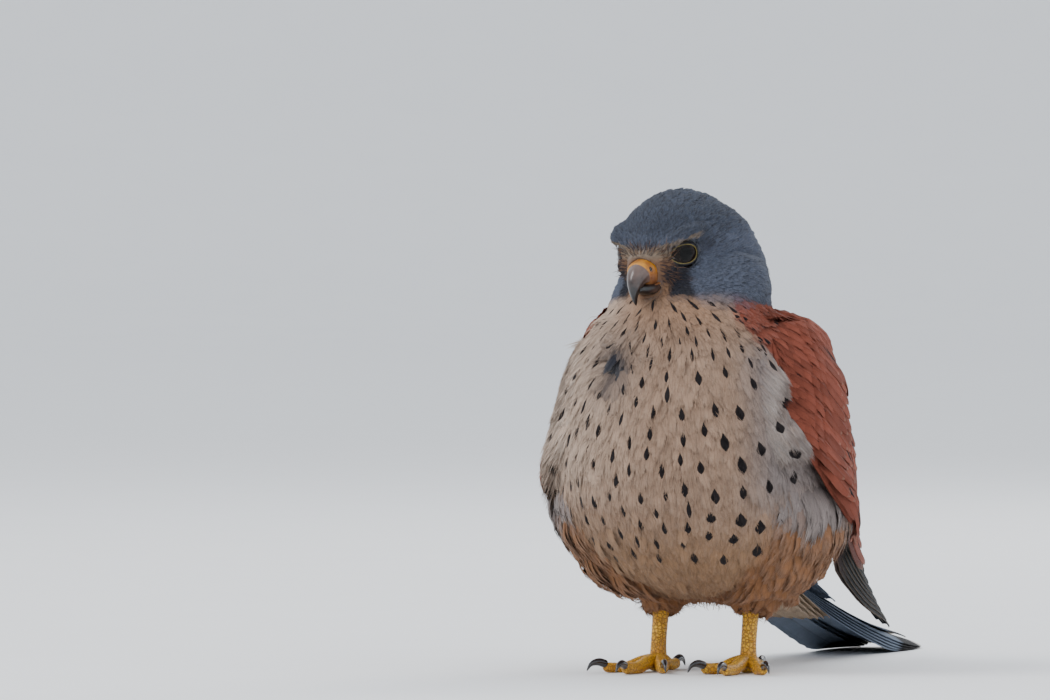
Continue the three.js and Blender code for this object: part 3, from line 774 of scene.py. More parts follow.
class Marks:
    """Dark drops on the breast, each with its place, its directions and its half sizes."""

    def __init__(self, ground, gap):
        rng = np.random.default_rng(41)

        def marked(points):
            return (points[:, 2] > 42) & (np.abs(bearing(points)) < mantle_edge(points) + 3)

        places, normals = ground.scatter(rng, 1.5, marked)
        z = places[:, 2]
        use = (z < hood_edge(places) - 1.5) & (rng.random(len(z)) < smooth(z, 38, 60))
        use &= parted(places) < 0.4
        places, normals = places[use], normals[use]
        high = smooth(places[:, 2], 98, 120)
        left = smooth(bearing(places), 6, 32) * (1 - high)
        kept = thin_out(places, gap * mix(mix(0.9, 1.1, left), 0.66, high))
        self.places, high, left = places[kept], high[kept], left[kept]
        self.along = flow(self.places, normals[kept])
        self.across = np.cross(normals[kept], self.along)
        half = np.column_stack([mix(mix(0.95, 1.8, left), 0.56, high), mix(3.1, 3.3, left)])
        self.half = half * rng.uniform(0.75, 1.2, half.shape)
        self.tree = KDTree(len(kept))
        for i, place in enumerate(self.places):
            self.tree.insert(place, i)
        self.tree.balance()

    def offsets(self, points, middles):
        """Each feather's points from the drop nearest its middle, in half widths and lengths."""
        near = np.array([self.tree.find(middle)[1] for middle in middles])
        away = points - self.places[near][:, None]
        x = np.sum(away * self.across[near][:, None], axis=2) / self.half[near, :1]
        y = np.sum(away * self.along[near][:, None], axis=2) / self.half[near, 1:]
        return np.stack([x, y, 0 * x], axis=-1)


class Ground:
    """The skin as a place to root feathers: random points on it and nearest points to it."""

    def __init__(self, mesh):
        self.points, self.normals = vertex_arrays(mesh)
        mesh.calc_loop_triangles()
        self.faces = np.empty(len(mesh.loop_triangles) * 3, np.int32)
        mesh.loop_triangles.foreach_get("vertices", self.faces)
        self.faces = self.faces.reshape(-1, 3)
        self.tree = BVHTree.FromPolygons([tuple(p) for p in self.points], self.faces.tolist())

    def scatter(self, rng, density, inside):
        """Random points on the faces whose middles pass inside, density to a square mm."""
        middle = self.points[self.faces].mean(axis=1)
        faces = self.faces[inside(middle)]
        a, b, c = (self.points[faces[:, k]] for k in range(3))
        area = np.linalg.norm(np.cross(b - a, c - a), axis=1) / 2
        pick = rng.choice(len(area), int(area.sum() * density), p=area / area.sum())
        u = np.sqrt(rng.random(len(pick)))
        v = rng.random(len(pick))
        share = np.column_stack([1 - u, u * (1 - v), u * v])[:, :, None]
        corners = faces[pick]
        place = (self.points[corners] * share).sum(axis=1)
        return place, unit((self.normals[corners] * share).sum(axis=1))

    def nearest(self, points):
        found = [self.tree.find_nearest(Vector(p))[:2] for p in points]
        return np.array([spot for spot, _ in found]), np.array([normal for _, normal in found])

    def lay_along(self, roots, lie, length):
        """Where feathers of that length end when they follow the skin, and its normals."""
        tips, _ = self.nearest(roots + lie * length[:, None])
        return self.nearest(roots + unit(tips - roots) * length[:, None])


def crowded(point, gap, key, grid):
    for dx in (-1, 0, 1):
        for dy in (-1, 0, 1):
            for dz in (-1, 0, 1):
                for q in grid.get((key[0] + dx, key[1] + dy, key[2] + dz), ()):
                    if math.dist(point, q) < gap:
                        return True
    return False


def thin_out(points, spacing):
    """Keeps points in order while none kept already is nearer than their own spacing."""
    cell = float(spacing.max())
    grid = {}
    kept = []
    for i, (point, gap) in enumerate(zip(points.tolist(), spacing.tolist())):
        key = tuple(int(c // cell) for c in point)
        if not crowded(point, gap, key, grid):
            grid.setdefault(key, []).append(point)
            kept.append(i)
    return np.array(kept, int)


def vane_shape(rows, barbs, fringe, rng):
    """A small feather's points, as across and along, and its triangles, with free barb tips."""
    levels = np.linspace(0, 1, rows) ** 0.85 * 0.86
    widths = np.sin(np.pi * mix(0.22, 0.88, levels / 0.86)) ** 0.7
    points = []
    for level, wide in zip(levels, widths):
        points += [(-wide, level), (0.0, level + 0.03), (wide, level)]
    faces = []
    for a in (row * 3 + column for row in range(rows - 1) for column in range(2)):
        faces += [(a, a + 1, a + 4), (a, a + 4, a + 3)]
    outline = [(-w, l) for l, w in zip(levels[1:], widths[1:])] + [(0.0, 0.9)]
    outline = np.array(outline + [(w, l) for l, w in zip(levels[:0:-1], widths[:0:-1])])
    along = np.arange(len(outline))

    def on_outline(x):
        return np.array([np.interp(x, along, outline[:, k]) for k in (0, 1)])

    for x in np.linspace(0.05, len(outline) - 1.05, barbs):
        middle = on_outline(x)
        run = on_outline(x + 0.3) - on_outline(x - 0.3)
        base = run / np.linalg.norm(run) * (0.16, 0.045)
        lean = np.array([0.5 * middle[0], 1.0])
        tip = middle + lean / np.linalg.norm(lean) * fringe * rng.uniform(0.4, 1.3)
        start = len(points)
        points += [tuple(middle * (0.85, 0.96) - base), tuple(middle * (0.85, 0.96) + base), tuple(tip)]
        faces += [(start, start + 1, start + 2)]
    return np.array(points), np.array(faces)


def hair_shape():
    """One loose barb: a thin strip that tapers to its tip."""
    points = [(-1, 0), (1, 0), (-0.8, 0.5), (0.8, 0.5), (0, 1)]
    return np.array(points, float), np.array([(0, 1, 3), (0, 3, 2), (2, 3, 4)])


def plume_mesh(name, material, roots, normals, tips, tip_normals, spec, rng):
    """Joined small feathers from roots to tips. spec has one value or one row for each."""
    count = len(roots)
    width = spec["width"] * rng.uniform(0.85, 1.15, count)
    rise = (spec["rise"] * rng.uniform(0.7, 1.35, count))[:, None]
    tips = tips + tip_normals * rise
    middle = (roots + tips) / 2 + normals * rise * 0.7
    start = roots - normals * 0.25
    if spec.get("hair"):
        shapes = [hair_shape()]
    else:
        shapes = [vane_shape(spec["rows"], spec["barbs"], spec["fringe"], rng) for _ in range(7)]
    faces = shapes[0][1]
    across, along = np.moveaxis(np.stack([shape[0] for shape in shapes]), 2, 0)
    pick = np.arange(count) % len(shapes)
    across, along = across[pick], along[pick]
    a, l = across[..., None], along[..., None]
    path = (1 - l) ** 2 * start[:, None] + 2 * l * (1 - l) * middle[:, None] + l**2 * tips[:, None]
    facing = unit(mix(normals[:, None], tip_normals[:, None], l))
    side = unit(np.cross(tips - roots, normals))[:, None]
    points = path + (side * a - facing * spec["curve"] * a**2) * width[:, None, None]
    points = points + facing * rng.normal(0, spec["ruffle"], across.shape)[..., None] * l
    tint = mix(mix(spec["tint"], DOWN, 0.35)[:, None], spec["tint"][:, None], smooth(l, 0.1, 0.4))
    tint = mix(tint, WHITE, np.abs(a) * smooth(l, 0.5, 1) * spec["edge"])
    streak = np.broadcast_to(spec.get("streak", 0.0), count)[:, None, None]
    tint = mix(tint, HUES["ink"], streak * np.clip(1 - np.abs(a) * 1.1, 0, 1) * smooth(l, 0.1, 0.5))
    tint = tint * rng.uniform(0.94, 1.06, (count, 1, 1))
    mark = np.full(points.shape, NO_MARK)
    if "marks" in spec:
        mark = spec["marks"].offsets(points, mix(roots, tips, 0.75))
    elif "drop" in spec:
        half = np.where(spec["drop"] > 0, spec["drop"], 0.01)[:, None]
        mark = np.stack([(across + 0.02) / half, (along - 0.78) / 0.2, 0 * along], axis=-1)
    vane = np.stack([across * 0.45 + 0.5, along], axis=-1)
    bake = unwrap(roots)[:, None] + 0.003 * np.stack([across * 0.35, along - 0.5], axis=-1)
    each = across.shape[1]
    joined = (faces[None] + (np.arange(count) * each)[:, None, None]).reshape(-1, 3)
    layers = {
        "vane": vane.reshape(-1, 2),
        "OFBake": bake.reshape(-1, 2),
        "tint": tint.reshape(-1, 3),
        "mark": mark.reshape(-1, 3),
    }
    mesh = array_mesh(name, points.reshape(-1, 3), joined, layers)
    return new_object(name, mesh, material)


def build_coat(name, material, ground, roots, normals, spec, rng):
    """Small feathers that follow the skin from their roots."""
    count = len(roots)
    lie = flow(roots, normals)
    swing = rng.normal(0, spec["stray"], count) + spec["stray"] * 2.2 * ripple(roots, 0.11)
    lie = unit(lie + np.cross(normals, lie) * swing[:, None])
    length = spec["length"] * rng.uniform(0.82, 1.15, count)
    spec = {**spec, "rise": spec["rise"] * (1 + 0.35 * ripple(roots, 0.16, 40))}
    tips, tip_normals = ground.lay_along(roots, lie, length)
    spec.setdefault("tint", paint(mix(roots, tips, 0.6)))
    return plume_mesh(name, material, roots, normals, tips, tip_normals, spec, rng)


def off_the_face(points):
    """False over the eyes, the bill and the gape, where no feather is rooted."""
    keep = np.ones(len(points), bool)
    for _, side in SIDES:
        _, _, out, ring = round_eye(points, side)
        keep &= ~((ring < 6.0) & (out > 0))
    side, front, up = in_head(points)
    reach = np.abs(side)
    bill = (front > 15.4) & (reach < 5.9) & (up > -13.5) & (up < 0.4)
    gape = (front > 11.5) & (reach < 6.2) & (up < -7.4) & (up > -11.6)
    return keep & ~bill & ~gape


def under_wing(points):
    """True where the folded wings hide the body."""
    turn = np.abs(bearing(points))
    lower = mix(66, 46, np.clip((turn - 70) / 30, 0, 1))
    return (turn > 74) & (turn < 126) & (points[:, 2] < 104) & (points[:, 2] > lower)


def build_head_coat(ground, soft, coat):
    rng = np.random.default_rng(11)
    points, normals = ground.scatter(rng, 7, lambda p: p[:, 2] > 126)
    use = (points[:, 2] > hood_edge(points) - 3.5) & off_the_face(points)
    points, normals = points[use], normals[use]
    front = in_head(points)[1]
    size = mix(1.0, 2.1, smooth(front, 15, -14)) * mix(1, 0.85, smooth(points[:, 2], 142, 133))
    for _, side in SIDES:
        _, _, out, ring = round_eye(points, side)
        size = size * np.where(out > -1, mix(0.55, 1, smooth(ring, 5.5, 9.5)), 1)
    kept = thin_out(points, size * 0.52)
    points, normals, size = points[kept], normals[kept], size[kept]
    front, up = in_head(points)[1:]
    streak = np.where(rng.random(len(points)) < 0.35, rng.uniform(0.2, 0.6, len(points)), 0)
    streak = streak * mix(0.5, 1, smooth(up, -6, 4))
    base = {"rows": 3, "barbs": 5, "fringe": 0.34, "curve": 0.22, "ruffle": 0.03, "stray": 0.14,
            "edge": 0.1}
    for name, use in (("hood_front", front > 3), ("hood_back", front <= 3)):
        spec = {**base, "length": size[use] * 2.5, "width": size[use] * 0.52,
                "rise": (size[use] * 0.36 + 0.15) * coat.fluff, "streak": streak[use]}
        build_coat(name, soft, ground, points[use], normals[use], spec, rng)


def build_bristles(ground, soft):
    """Dark stiff bristles over the lores and round the gape."""
    rng = np.random.default_rng(13)

    def face(points):
        side, front, up = in_head(points)
        return (front > 11.5) & (np.abs(side) < 10) & (up > -8) & (up < 3)

    points, normals = ground.scatter(rng, 3, face)
    points, normals = (v[off_the_face(points)] for v in (points, normals))
    count = len(points)
    shade = np.where(rng.random(count) < 0.7, 0.9, 0.2)[:, None]
    spec = {"hair": True, "length": rng.uniform(2.5, 5, count), "width": np.full(count, 0.09),
            "rise": rng.uniform(0.5, 2.2, count), "tint": mix(LORE, MALAR, shade), "curve": 0.0,
            "ruffle": 0.0, "stray": 0.3, "edge": 0.0}
    build_coat("bristles", soft, ground, points, normals, spec, rng)


def build_breast_coat(ground, soft, coat, marks):
    """The long soft feathers of the throat, breast, flanks, belly and thighs."""
    rng = np.random.default_rng(21)

    def breast(points):
        turn = np.abs(bearing(points))
        return (points[:, 2] < 137) & ((turn < mantle_edge(points) + 3) | (points[:, 2] < 48))

    points, normals = ground.scatter(rng, 2.6, breast)
    use = (points[:, 2] < hood_edge(points) + 1) & ~under_wing(points)
    points, normals = points[use], normals[use]
    z = points[:, 2]
    size = mix(1.0, 0.5, smooth(z, 110, 130)) * mix(1, 0.5, smooth(z, 32, 22))
    kept = thin_out(points, size * coat.breast_gap / MM)
    points, normals, size = points[kept], normals[kept], size[kept]
    turn = bearing(points)
    loose = np.where(rng.random(len(points)) < 0.02, 1.8, 1.0)
    parts = (("breast_right", turn < -22), ("breast_middle", (turn >= -22) & (turn < 28)),
             ("breast_left", turn >= 28))
    for name, use in parts:
        spec = {"length": size[use] * coat.breast_length / MM, "width": size[use] * 1.9,
                "rise": size[use] * 1.5 * coat.fluff * loose[use], "rows": 4, "barbs": 14,
                "fringe": 0.3, "curve": 0.22, "ruffle": 0.05, "stray": 0.09, "edge": 0.1,
                "marks": marks}
        build_coat(name, soft, ground, points[use], normals[use], spec, rng)


def build_loose_barbs(ground, soft, marks):
    """Hair-thin loose barbs that soften the outline of the underside."""
    rng = np.random.default_rng(27)
    points, normals = ground.scatter(rng, 0.3, lambda p: (p[:, 2] < 128) & (
        (np.abs(bearing(p)) < mantle_edge(p)) | (p[:, 2] < 44)))
    points, normals = (v[~under_wing(points)] for v in (points, normals))
    count = len(points)
    spec = {"hair": True, "length": rng.uniform(8, 13, count), "width": np.full(count, 0.11),
            "rise": rng.uniform(1.5, 3.6, count), "curve": 0.0, "ruffle": 0.1, "stray": 0.3,
            "edge": 0.0, "marks": marks}
    build_coat("loose_barbs", soft, ground, points, normals, spec, rng)


def build_back_coat(ground, sleek, coat):
    """The mantle between the wings, the rump and the upper tail root."""
    rng = np.random.default_rng(31)

    def back(points):
        turn = np.abs(bearing(points))
        return (turn > mantle_edge(points) - 3) & (points[:, 2] > 40) & (points[:, 2] < 136)

    points, normals = ground.scatter(rng, 1.2, back)
    use = ~under_wing(points) & (points[:, 2] < hood_edge(points))
    points, normals = points[use], normals[use]
    size = mix(1.0, 0.6, smooth(points[:, 2], 116, 130))
    kept = thin_out(points, size * 2.0)
    points, normals, size = points[kept], normals[kept], size[kept]
    count = len(points)
    spotted = (rng.random(count) < 0.2) & (points[:, 2] > 66)
    spec = {"length": size * 12, "width": size * 3.0, "rise": size * 1.8 * coat.fluff, "rows": 5,
            "drop": np.where(spotted, 0.36, 0.0), "barbs": 12, "fringe": 0.1, "curve": 0.3,
            "ruffle": 0.05, "stray": 0.08, "edge": 0.12}
    build_coat("back_coat", sleek, ground, points, normals, spec, rng)


# The front edge of the wing, as the flank feathers meet it from the shoulder down: s and t.
WING_EDGE = ((0.012, -16), (0.0, -6), (0.0, 8), (0.02, 17), (0.07, 24), (0.14, 30), (0.22, 35),
             (0.3, 38), (0.38, 35))
WING_LENGTH = 245
RIGHT_TUCK = 0.95  # the right wing is held closer in, under the flank


# Each flank's plumes: how many, from where to where down the wing's edge, how far over it they
# reach and how high they lie, in mm, and their palest tone.
# The left flank's tone is darkened as painted shade, and the right flank's is made paler as painted
# light.
FLANKS = {
    "left": (2800, (0.2, 0.5), 1.0, (2.4, 3.2), FLANK_WITH_SHADE),
    "right": (5200, (0.05, 1), 24, (1.4, 2.2), BREAST_PALE_LIT),
}
FLANK_START = -15.0  # how far before the wing's edge the plumes begin
SOFT_PLUME = {"rows": 4, "barbs": 16, "fringe": 0.36, "curve": 0.25, "ruffle": 0.08}


def build_flank(name, side, ground, soft, coat, marks, rng):
    """Fluffed feathers that run from the body over the front edge of one folded wing."""
    flip = np.array([side if side > 0 else -RIGHT_TUCK, 1, 1])
    count, span, reach, levels, tone = FLANKS[name]
    down = rng.uniform(*span, count)
    ragged = 1.3 * np.sin(down * 60) + np.sin(down * 131 + 1)
    over = reach * smooth(down, 1.3, 0.85) + ragged
    over = mix(FLANK_START, over, rng.random(count) ** 0.8)
    s, t = spline(WING_EDGE, down).T
    turn = smooth(down, 0.3, 0.5)
    s = s + over * mix(1, 0.5, turn) / WING_LENGTH
    t = t - over * 0.85 * turn
    lift = mix(-4.5, rng.uniform(*levels, count), smooth(over, -14, -2))
    tips = on_wing(s, t, lift)
    tip_normals = unit(on_wing(s, t, lift + 1) - tips) * flip
    base = on_wing(s - 7 / WING_LENGTH, t - 8, lift - 1.2)
    normals = unit(on_wing(s - 7 / WING_LENGTH, t - 8, lift) - base) * flip
    tips, roots = tips * flip, base * flip
    body, body_normals = ground.nearest(tips + (0, -5, 12) - tip_normals * 2)
    near = (over < 5)[:, None]
    roots, normals = np.where(near, body, roots), np.where(near, body_normals, normals)
    tint = mix(tone, HUES["buff"], rng.random((count, 1)) * 0.4)
    tint = lay(tint, smooth(tips[:, 2], 72, 54), THIGH)
    spec = {**SOFT_PLUME, "width": np.full(count, 1.9), "edge": 0.3, "marks": marks, "tint": tint,
            "rise": rng.uniform(0.3, 1.2, count) * coat.fluff}
    plume_mesh(f"flank_{name}", soft, roots, normals, tips, tip_normals, spec, rng)


def build_thigh_fluff(ground, soft, coat, rng):
    """Long fluffed feathers over the thighs, under the wings' lower edges."""
    def hollow(points):
        turn = np.abs(bearing(points))
        return (turn > 54) & (turn < 98) & (points[:, 2] > 34) & (points[:, 2] < 70)

    roots, normals = ground.scatter(rng, 0.9, hollow)
    out = smooth(np.abs(bearing(roots)), 54, 72)
    # The flank tone here carries painted shade.
    tint = lay(np.broadcast_to(FLANK_WITH_SHADE, roots.shape), smooth(roots[:, 2], 68, 58), THIGH)
    spec = {**SOFT_PLUME, "length": mix(11, 15, out), "width": np.full(len(roots), 2.0),
            "rise": mix(2, 5.6, out) * coat.fluff, "stray": 0.15, "edge": 0.15, "tint": tint}
    build_coat("thigh_fluff", soft, ground, roots, normals, spec, rng)


def build_flanks(ground, soft, coat, marks):
    """Both flanks, and then the fluff over the thighs."""
    rng = np.random.default_rng(45)
    for name, side in SIDES:
        build_flank(name, side, ground, soft, coat, marks, rng)
    build_thigh_fluff(ground, soft, coat, rng)


# Big feathers on the wing's and the tail's sheets.
FEATHER_ACROSS = np.array([-1.0, -0.9, -0.55, -0.12, 0.0, 0.12, 0.55, 0.9, 1.0])


def big_feather(place, root, tip, half, lift, rng, *, rows, point, root_lift=None, roll=0.0,
                tint=None, tones=None, mark=0):
    """One long vane on a sheet: points, tint, mark and vane coordinates, as flat arrays."""
    u = np.linspace(0, 1, rows) ** 0.9
    root_lift = lift if root_lift is None else root_lift
    end = np.clip((u - point) / (1.02 - point), 0, 1)
    wide = mix(0.5, 1, smooth(u, 0, 0.35)) * np.sqrt(1 - end**2.2)
    u2, a = np.meshgrid(u, FEATHER_ACROSS, indexing="ij")
    wide = np.broadcast_to(wide[:, None], a.shape)
    nick = rng.uniform(0.93, 1.0, a.shape)
    reach = a * half * wide * np.where(np.abs(a) > 0.95, nick, 1)
    ridge = np.where(a == 0, 0.32, 0.0) * (1 - 0.7 * u2)
    camber = -0.12 * half * a**2
    rise = mix(root_lift, lift, smooth(u2, 0, 0.35)) + roll * reach + camber + ridge
    s = mix(root[0], tip[0], u2)
    t = mix(root[1], tip[1], u2) + reach
    points = place(s, t, rise)
    tone = tones(u2, a) if tones else np.broadcast_to(tint, points.shape)
    vane = np.stack([a * 0.45 + 0.5, u2], axis=-1)
    marks = np.full(points.shape, NO_MARK)
    if mark:
        marks = np.stack([a / mark, (u2 - 0.72) / 0.24, 0 * a], axis=-1)
    return points, tone, marks, vane


VANE_WALL = 0.22


def build_vanes(name, material, feathers, mirrored=False):
    """Joins big feathers into one piece, with thin closed vanes."""
    rows, across = feathers[0][0].shape[:2]
    quads = grid_faces(rows, across)[1]
    count = len(feathers)
    faces = (quads[None] + (np.arange(count) * rows * across)[:, None, None]).reshape(-1, 4)
    points, tone, marks, vane = (
        np.concatenate([f[k].reshape(rows * across, -1) for f in feathers]) for k in range(4)
    )
    points = points.copy()
    if mirrored:
        points[:, 0] *= -RIGHT_TUCK
        faces = faces[:, ::-1]
    wide = math.ceil(math.sqrt(count))
    number = np.repeat(np.arange(count), rows * across)
    cell = np.column_stack([number % wide, number // wide]) / wide
    bake = cell + (0.04 + 0.92 * vane) / wide
    layers = {"vane": vane, "OFBake": bake, "tint": tone, "mark": marks}
    mesh = array_mesh(name, points, faces, layers)
    piece = new_object(name, mesh, material)
    wall = piece.modifiers.new("wall", "SOLIDIFY")
    wall.thickness = VANE_WALL * MM
    wall.offset = -1
    return piece


def quill_tones(u, a):
    """Blackish flight feathers with a thin pale edge."""
    base = mix(QUILL, HUES["chestnut"], (0.25 * smooth(u, 0.4, 0.15))[..., None])
    pale = mix(PALE, WHITE, smooth(u, 0.7, 1)[..., None])
    return mix(base, pale, (smooth(a, 0.92, 1.0) * 0.26)[..., None])


def covert_tones(tone, rng):
    """A covert with a darker back web, a paler edge and its own tone, and painted shade towards its
    root where the feather above lies over it.
    """
    own = tone * rng.uniform(0.74, 1.2)

    def tones(u, a):
        base = mix(own, QUILL, (0.55 * smooth(a, -0.35, -0.75))[..., None])
        # Painted shade: darker towards the root, which the next feather covers.
        base = mix(base, own * 0.55, (0.6 * smooth(u, 0.45, 0.0))[..., None])
        edge = smooth(np.hypot(a, smooth(u, 0.88, 1)), 0.93, 1.15)
        return mix(base, mix(own, PALE, 0.4), (edge * 0.6)[..., None])
    return tones


def drop(rng, share, width=0.28):
    """A dark drop's half width on that share of the feathers, and none on the others."""
    return width * rng.uniform(0.7, 1.3) * (rng.random() < share)


def wing_feathers():
    """Every big feather of the left wing, in tiers; the last list lies where flanks may cover it."""
    rng = np.random.default_rng(51)
    primaries = []
    tips = (0.6, 0.66, 0.72, 0.775, 0.83, 0.885, 0.945, 0.99, 0.955)
    for i, end in enumerate(tips):
        low = i / (len(tips) - 1)
        primaries.append(big_feather(
            on_wing, (0.32, mix(11, 31, low)), (end, mix(10, 5, low)), 6.3, -1.9 - 0.7 * i, rng,
            root_lift=-0.6 * low, point=0.5, rows=16, tones=quill_tones))
    secondaries = []
    for i in range(14):
        high = i / 13
        tone = mix(HUES["chestnut"], QUILL, smooth(high, 0.12, 0.0) * 0.5)
        secondaries.append(big_feather(
            on_wing, (mix(0.2, 0.14, high), mix(27, -22, high)),
            (mix(0.55, 0.45, high) + rng.uniform(-0.012, 0.012), mix(22, -25, high)), 5.6, 0.0, rng,
            roll=0.22, point=0.66, tones=covert_tones(tone, rng), mark=drop(rng, 0.5, 0.18),
            rows=16))
    coverts = []
    hidden = []
    for i in range(14):
        high = i / 13
        coverts.append(big_feather(
            on_wing, (mix(0.12, 0.08, high), mix(26, -19, high)),
            (mix(0.36, 0.28, high) + rng.uniform(-0.01, 0.01), mix(31, -22, high)), 4.6, 2.3, rng,
            root_lift=1.4, roll=0.2, point=0.6, tones=covert_tones(HUES["chestnut"], rng),
            rows=10, mark=drop(rng, 0.4)))
    for i in range(13):
        low = i / 12
        hidden.append(big_feather(
            on_wing, (mix(0.15, 0.18, low), mix(20, 32, low)),
            (mix(0.46, 0.34, low) + rng.uniform(-0.014, 0.014), mix(22, 37, low)), 3.5,
            mix(1.2, 2.8, low), rng, root_lift=1.6, roll=0.12, point=0.45,
            tones=covert_tones(HUES["chestnut"], rng), rows=10, mark=drop(rng, 0.25, 0.18)))
    for tier in range(9):
        number = 15 - tier // 2
        for i in range(number):
            high = (i + 0.5 * (tier % 2)) / (number - 0.5)
            size = mix(1.0, 0.6, tier / 8)
            end = mix(0.27, 0.05, tier / 8) - 0.05 * high * (1 - tier / 10) + rng.uniform(-0.008, 0.008)
            start = max(end - 0.11 * size, 0.003)
            back, belly = spline(ARM_EDGES, start / ARM_END)
            middle = mix(belly - 3, back - 5, high) + rng.uniform(-0.8, 0.8)
            slant = mix(8, 2, min(1.0, start / 0.3)) * size
            fold = hidden if end < 0.17 and high < 0.9 else coverts
            fold.append(big_feather(
                on_wing, (start, middle), (end, middle + slant), 3.6 * size,
                1.6 + 2.6 * bump(end, 0.19, 0.09), rng,
                root_lift=1.4, roll=0.12, point=0.55, tones=covert_tones(HUES["chestnut"], rng),
                rows=10, mark=drop(rng, 0.3)))
    return primaries, secondaries, coverts, hidden


def wing_arm():
    """The wing's arm under its coverts, a thin lens on the wing's sheet."""
    u, v = np.meshgrid(np.linspace(0, 1, 30), np.linspace(-1, 1, 18), indexing="ij")
    edges = spline(ARM_EDGES, u)
    swell = smooth(u, -0.15, 0.3) * mix(1, 0.4, smooth(u, 0.6, 1))
    thick = 0.4 + 4.6 * swell * (1 - 0.75 * v * v)
    t = mix(edges[..., 0] + 1, edges[..., 1] - 1, (v + 1) / 2)
    faces = [on_wing(0.4 * u, t, sign * thick / 2) for sign in (1, -1)]
    return faces, u, v


def build_wing_arm(name, sign, sleek):
    (upper, lower), u, v = wing_arm()
    rows, across = u.shape
    grid, quads = grid_faces(rows, across)
    rim = np.concatenate([grid[0], grid[1:, -1], grid[-1, -2::-1], grid[-2:0:-1, 0]])
    after = np.roll(rim, -1)
    total = rows * across
    wall = np.column_stack([after, rim, rim + total, after + total])
    faces = np.vstack([quads, quads[:, ::-1] + total, wall])
    points = np.vstack([upper.reshape(-1, 3), lower.reshape(-1, 3)])
    if sign < 0:
        points[:, 0] *= -RIGHT_TUCK
        faces = faces[:, ::-1]
    tone = np.broadcast_to(HUES["chestnut"] * 0.8, points.shape)
    vane = np.tile(np.column_stack([v.ravel() * 0.4 + 0.5, u.ravel()]), (2, 1))
    bake = vane * (0.96, 0.47) + (0.02, 0.01)
    bake[total:, 1] += 0.5
    layers = {"vane": vane, "OFBake": bake, "tint": tone, "mark": np.full(points.shape, NO_MARK)}
    mesh = array_mesh(f"wing_arm_{name}", points, faces, layers)
    piece = new_object(f"wing_arm_{name}", mesh, sleek)
    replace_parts(piece, f"wing_{name}")


def build_wings(flight, sleek):
    primaries, secondaries, coverts, wrist = wing_feathers()
    for name, sign in SIDES:
        build_wing_arm(name, sign, sleek)
        groups = {"primaries": (flight, primaries), "secondaries": (flight, secondaries),
                  "coverts": (sleek, coverts + wrist if sign > 0 else coverts)}
        for group, (material, feathers) in groups.items():
            build_vanes(f"{group}_{name}", material, feathers, sign < 0)


SHOULDER_ROWS = 8  # and as many feathers in each


def build_scapulars(sleek):
    """Rows of shoulder feathers over the wing's upper edge."""
    rng = np.random.default_rng(61)
    for name, sign in SIDES:
        feathers = []
        for tier in range(SHOULDER_ROWS):
            for i in range(SHOULDER_ROWS):
                high = (i + 0.5 * (tier % 2)) / SHOULDER_ROWS
                end = mix(0.1, 0.44, tier / (SHOULDER_ROWS - 1)) + rng.uniform(-0.02, 0.02)
                t = mix(-15, -52, high) + rng.uniform(-1.4, 1.4)
                if sign < 0 and high < 0.4 and end < 0.22:
                    continue
                feathers.append(big_feather(
                    on_wing, (max(end - 0.12, 0.002), t + 2), (end, t + 4 * (1 - high)), 4.6,
                    mix(2.8, -2.5, high) - 2.6 * float(smooth(end, 0.26, 0.08))
                    + (1.6 if rng.random() < 0.06 else 0), rng, root_lift=mix(0.6, -4.0, high),
                    roll=0.06, point=0.55, tones=covert_tones(HUES["chestnut"], rng), rows=10,
                    mark=drop(rng, 0.3)))
        build_vanes(f"scapulars_{name}", sleek, feathers, sign < 0)


def tail_tones(u, _):
    """Slate, a broad black band near the end, and a white tip."""
    base = mix(TAIL_GREY, QUILL, (smooth(u, 0.78, 0.8) * smooth(u, 0.965, 0.95))[..., None])
    return mix(base, WHITE, smooth(u, 0.95, 0.965)[..., None])


def build_tail(flight, sleek):
    rng = np.random.default_rng(71)
    feathers = []
    for pair in range(5, -1, -1):
        for side in (-1, 1):
            out = 1.5 * side if pair == 0 else side * (8.8 + 1.1 * pair)
            lift = -0.95 * pair + (0.95 if pair == 0 and side > 0 else 0)
            feather = big_feather(
                on_tail, (0.06, out * 0.5), (1 - 0.014 * pair, out), 8.0, lift, rng,
                root_lift=-2 + 0.4 * lift, point=0.86, rows=44, tones=tail_tones)
            feathers.append(feather)
    piece = build_vanes("tail_feathers", flight, feathers)
    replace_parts(piece, "tail")
    coverts = []
    for tier in range(5):
        for i in range(7):
            across = (i + 0.5 * (tier % 2) - 3) / 3
            end = mix(0.4, 0.12, tier / 4) - 0.05 * abs(across)
            coverts.append(big_feather(
                on_tail, (max(end - 0.24, 0.0), across * 9), (end, across * 11), 5.4,
                1.9 + 0.5 * tier - 1.2 * across**2, rng, root_lift=2.4, point=0.6, rows=10,
                tint=RUMP * rng.uniform(0.9, 1.1)))
    build_vanes("tail_coverts", sleek, coverts)
    under = []
    for tier in range(4):
        for i in range(6):
            across = (i + 0.5 * (tier % 2) - 2.5) / 2.5
            end = mix(0.42, 0.15, tier / 3) - 0.04 * abs(across)
            under.append(big_feather(
                on_tail, (max(end - 0.26, 0.0), across * 8), (end, across * 10), 5.4,
                -6.2 - 0.6 * tier + 1.0 * across**2, rng, root_lift=-5.5, point=0.6, rows=10,
                tint=PALE * rng.uniform(0.9, 1.05)))
    build_vanes("tail_undercoverts", sleek, under)


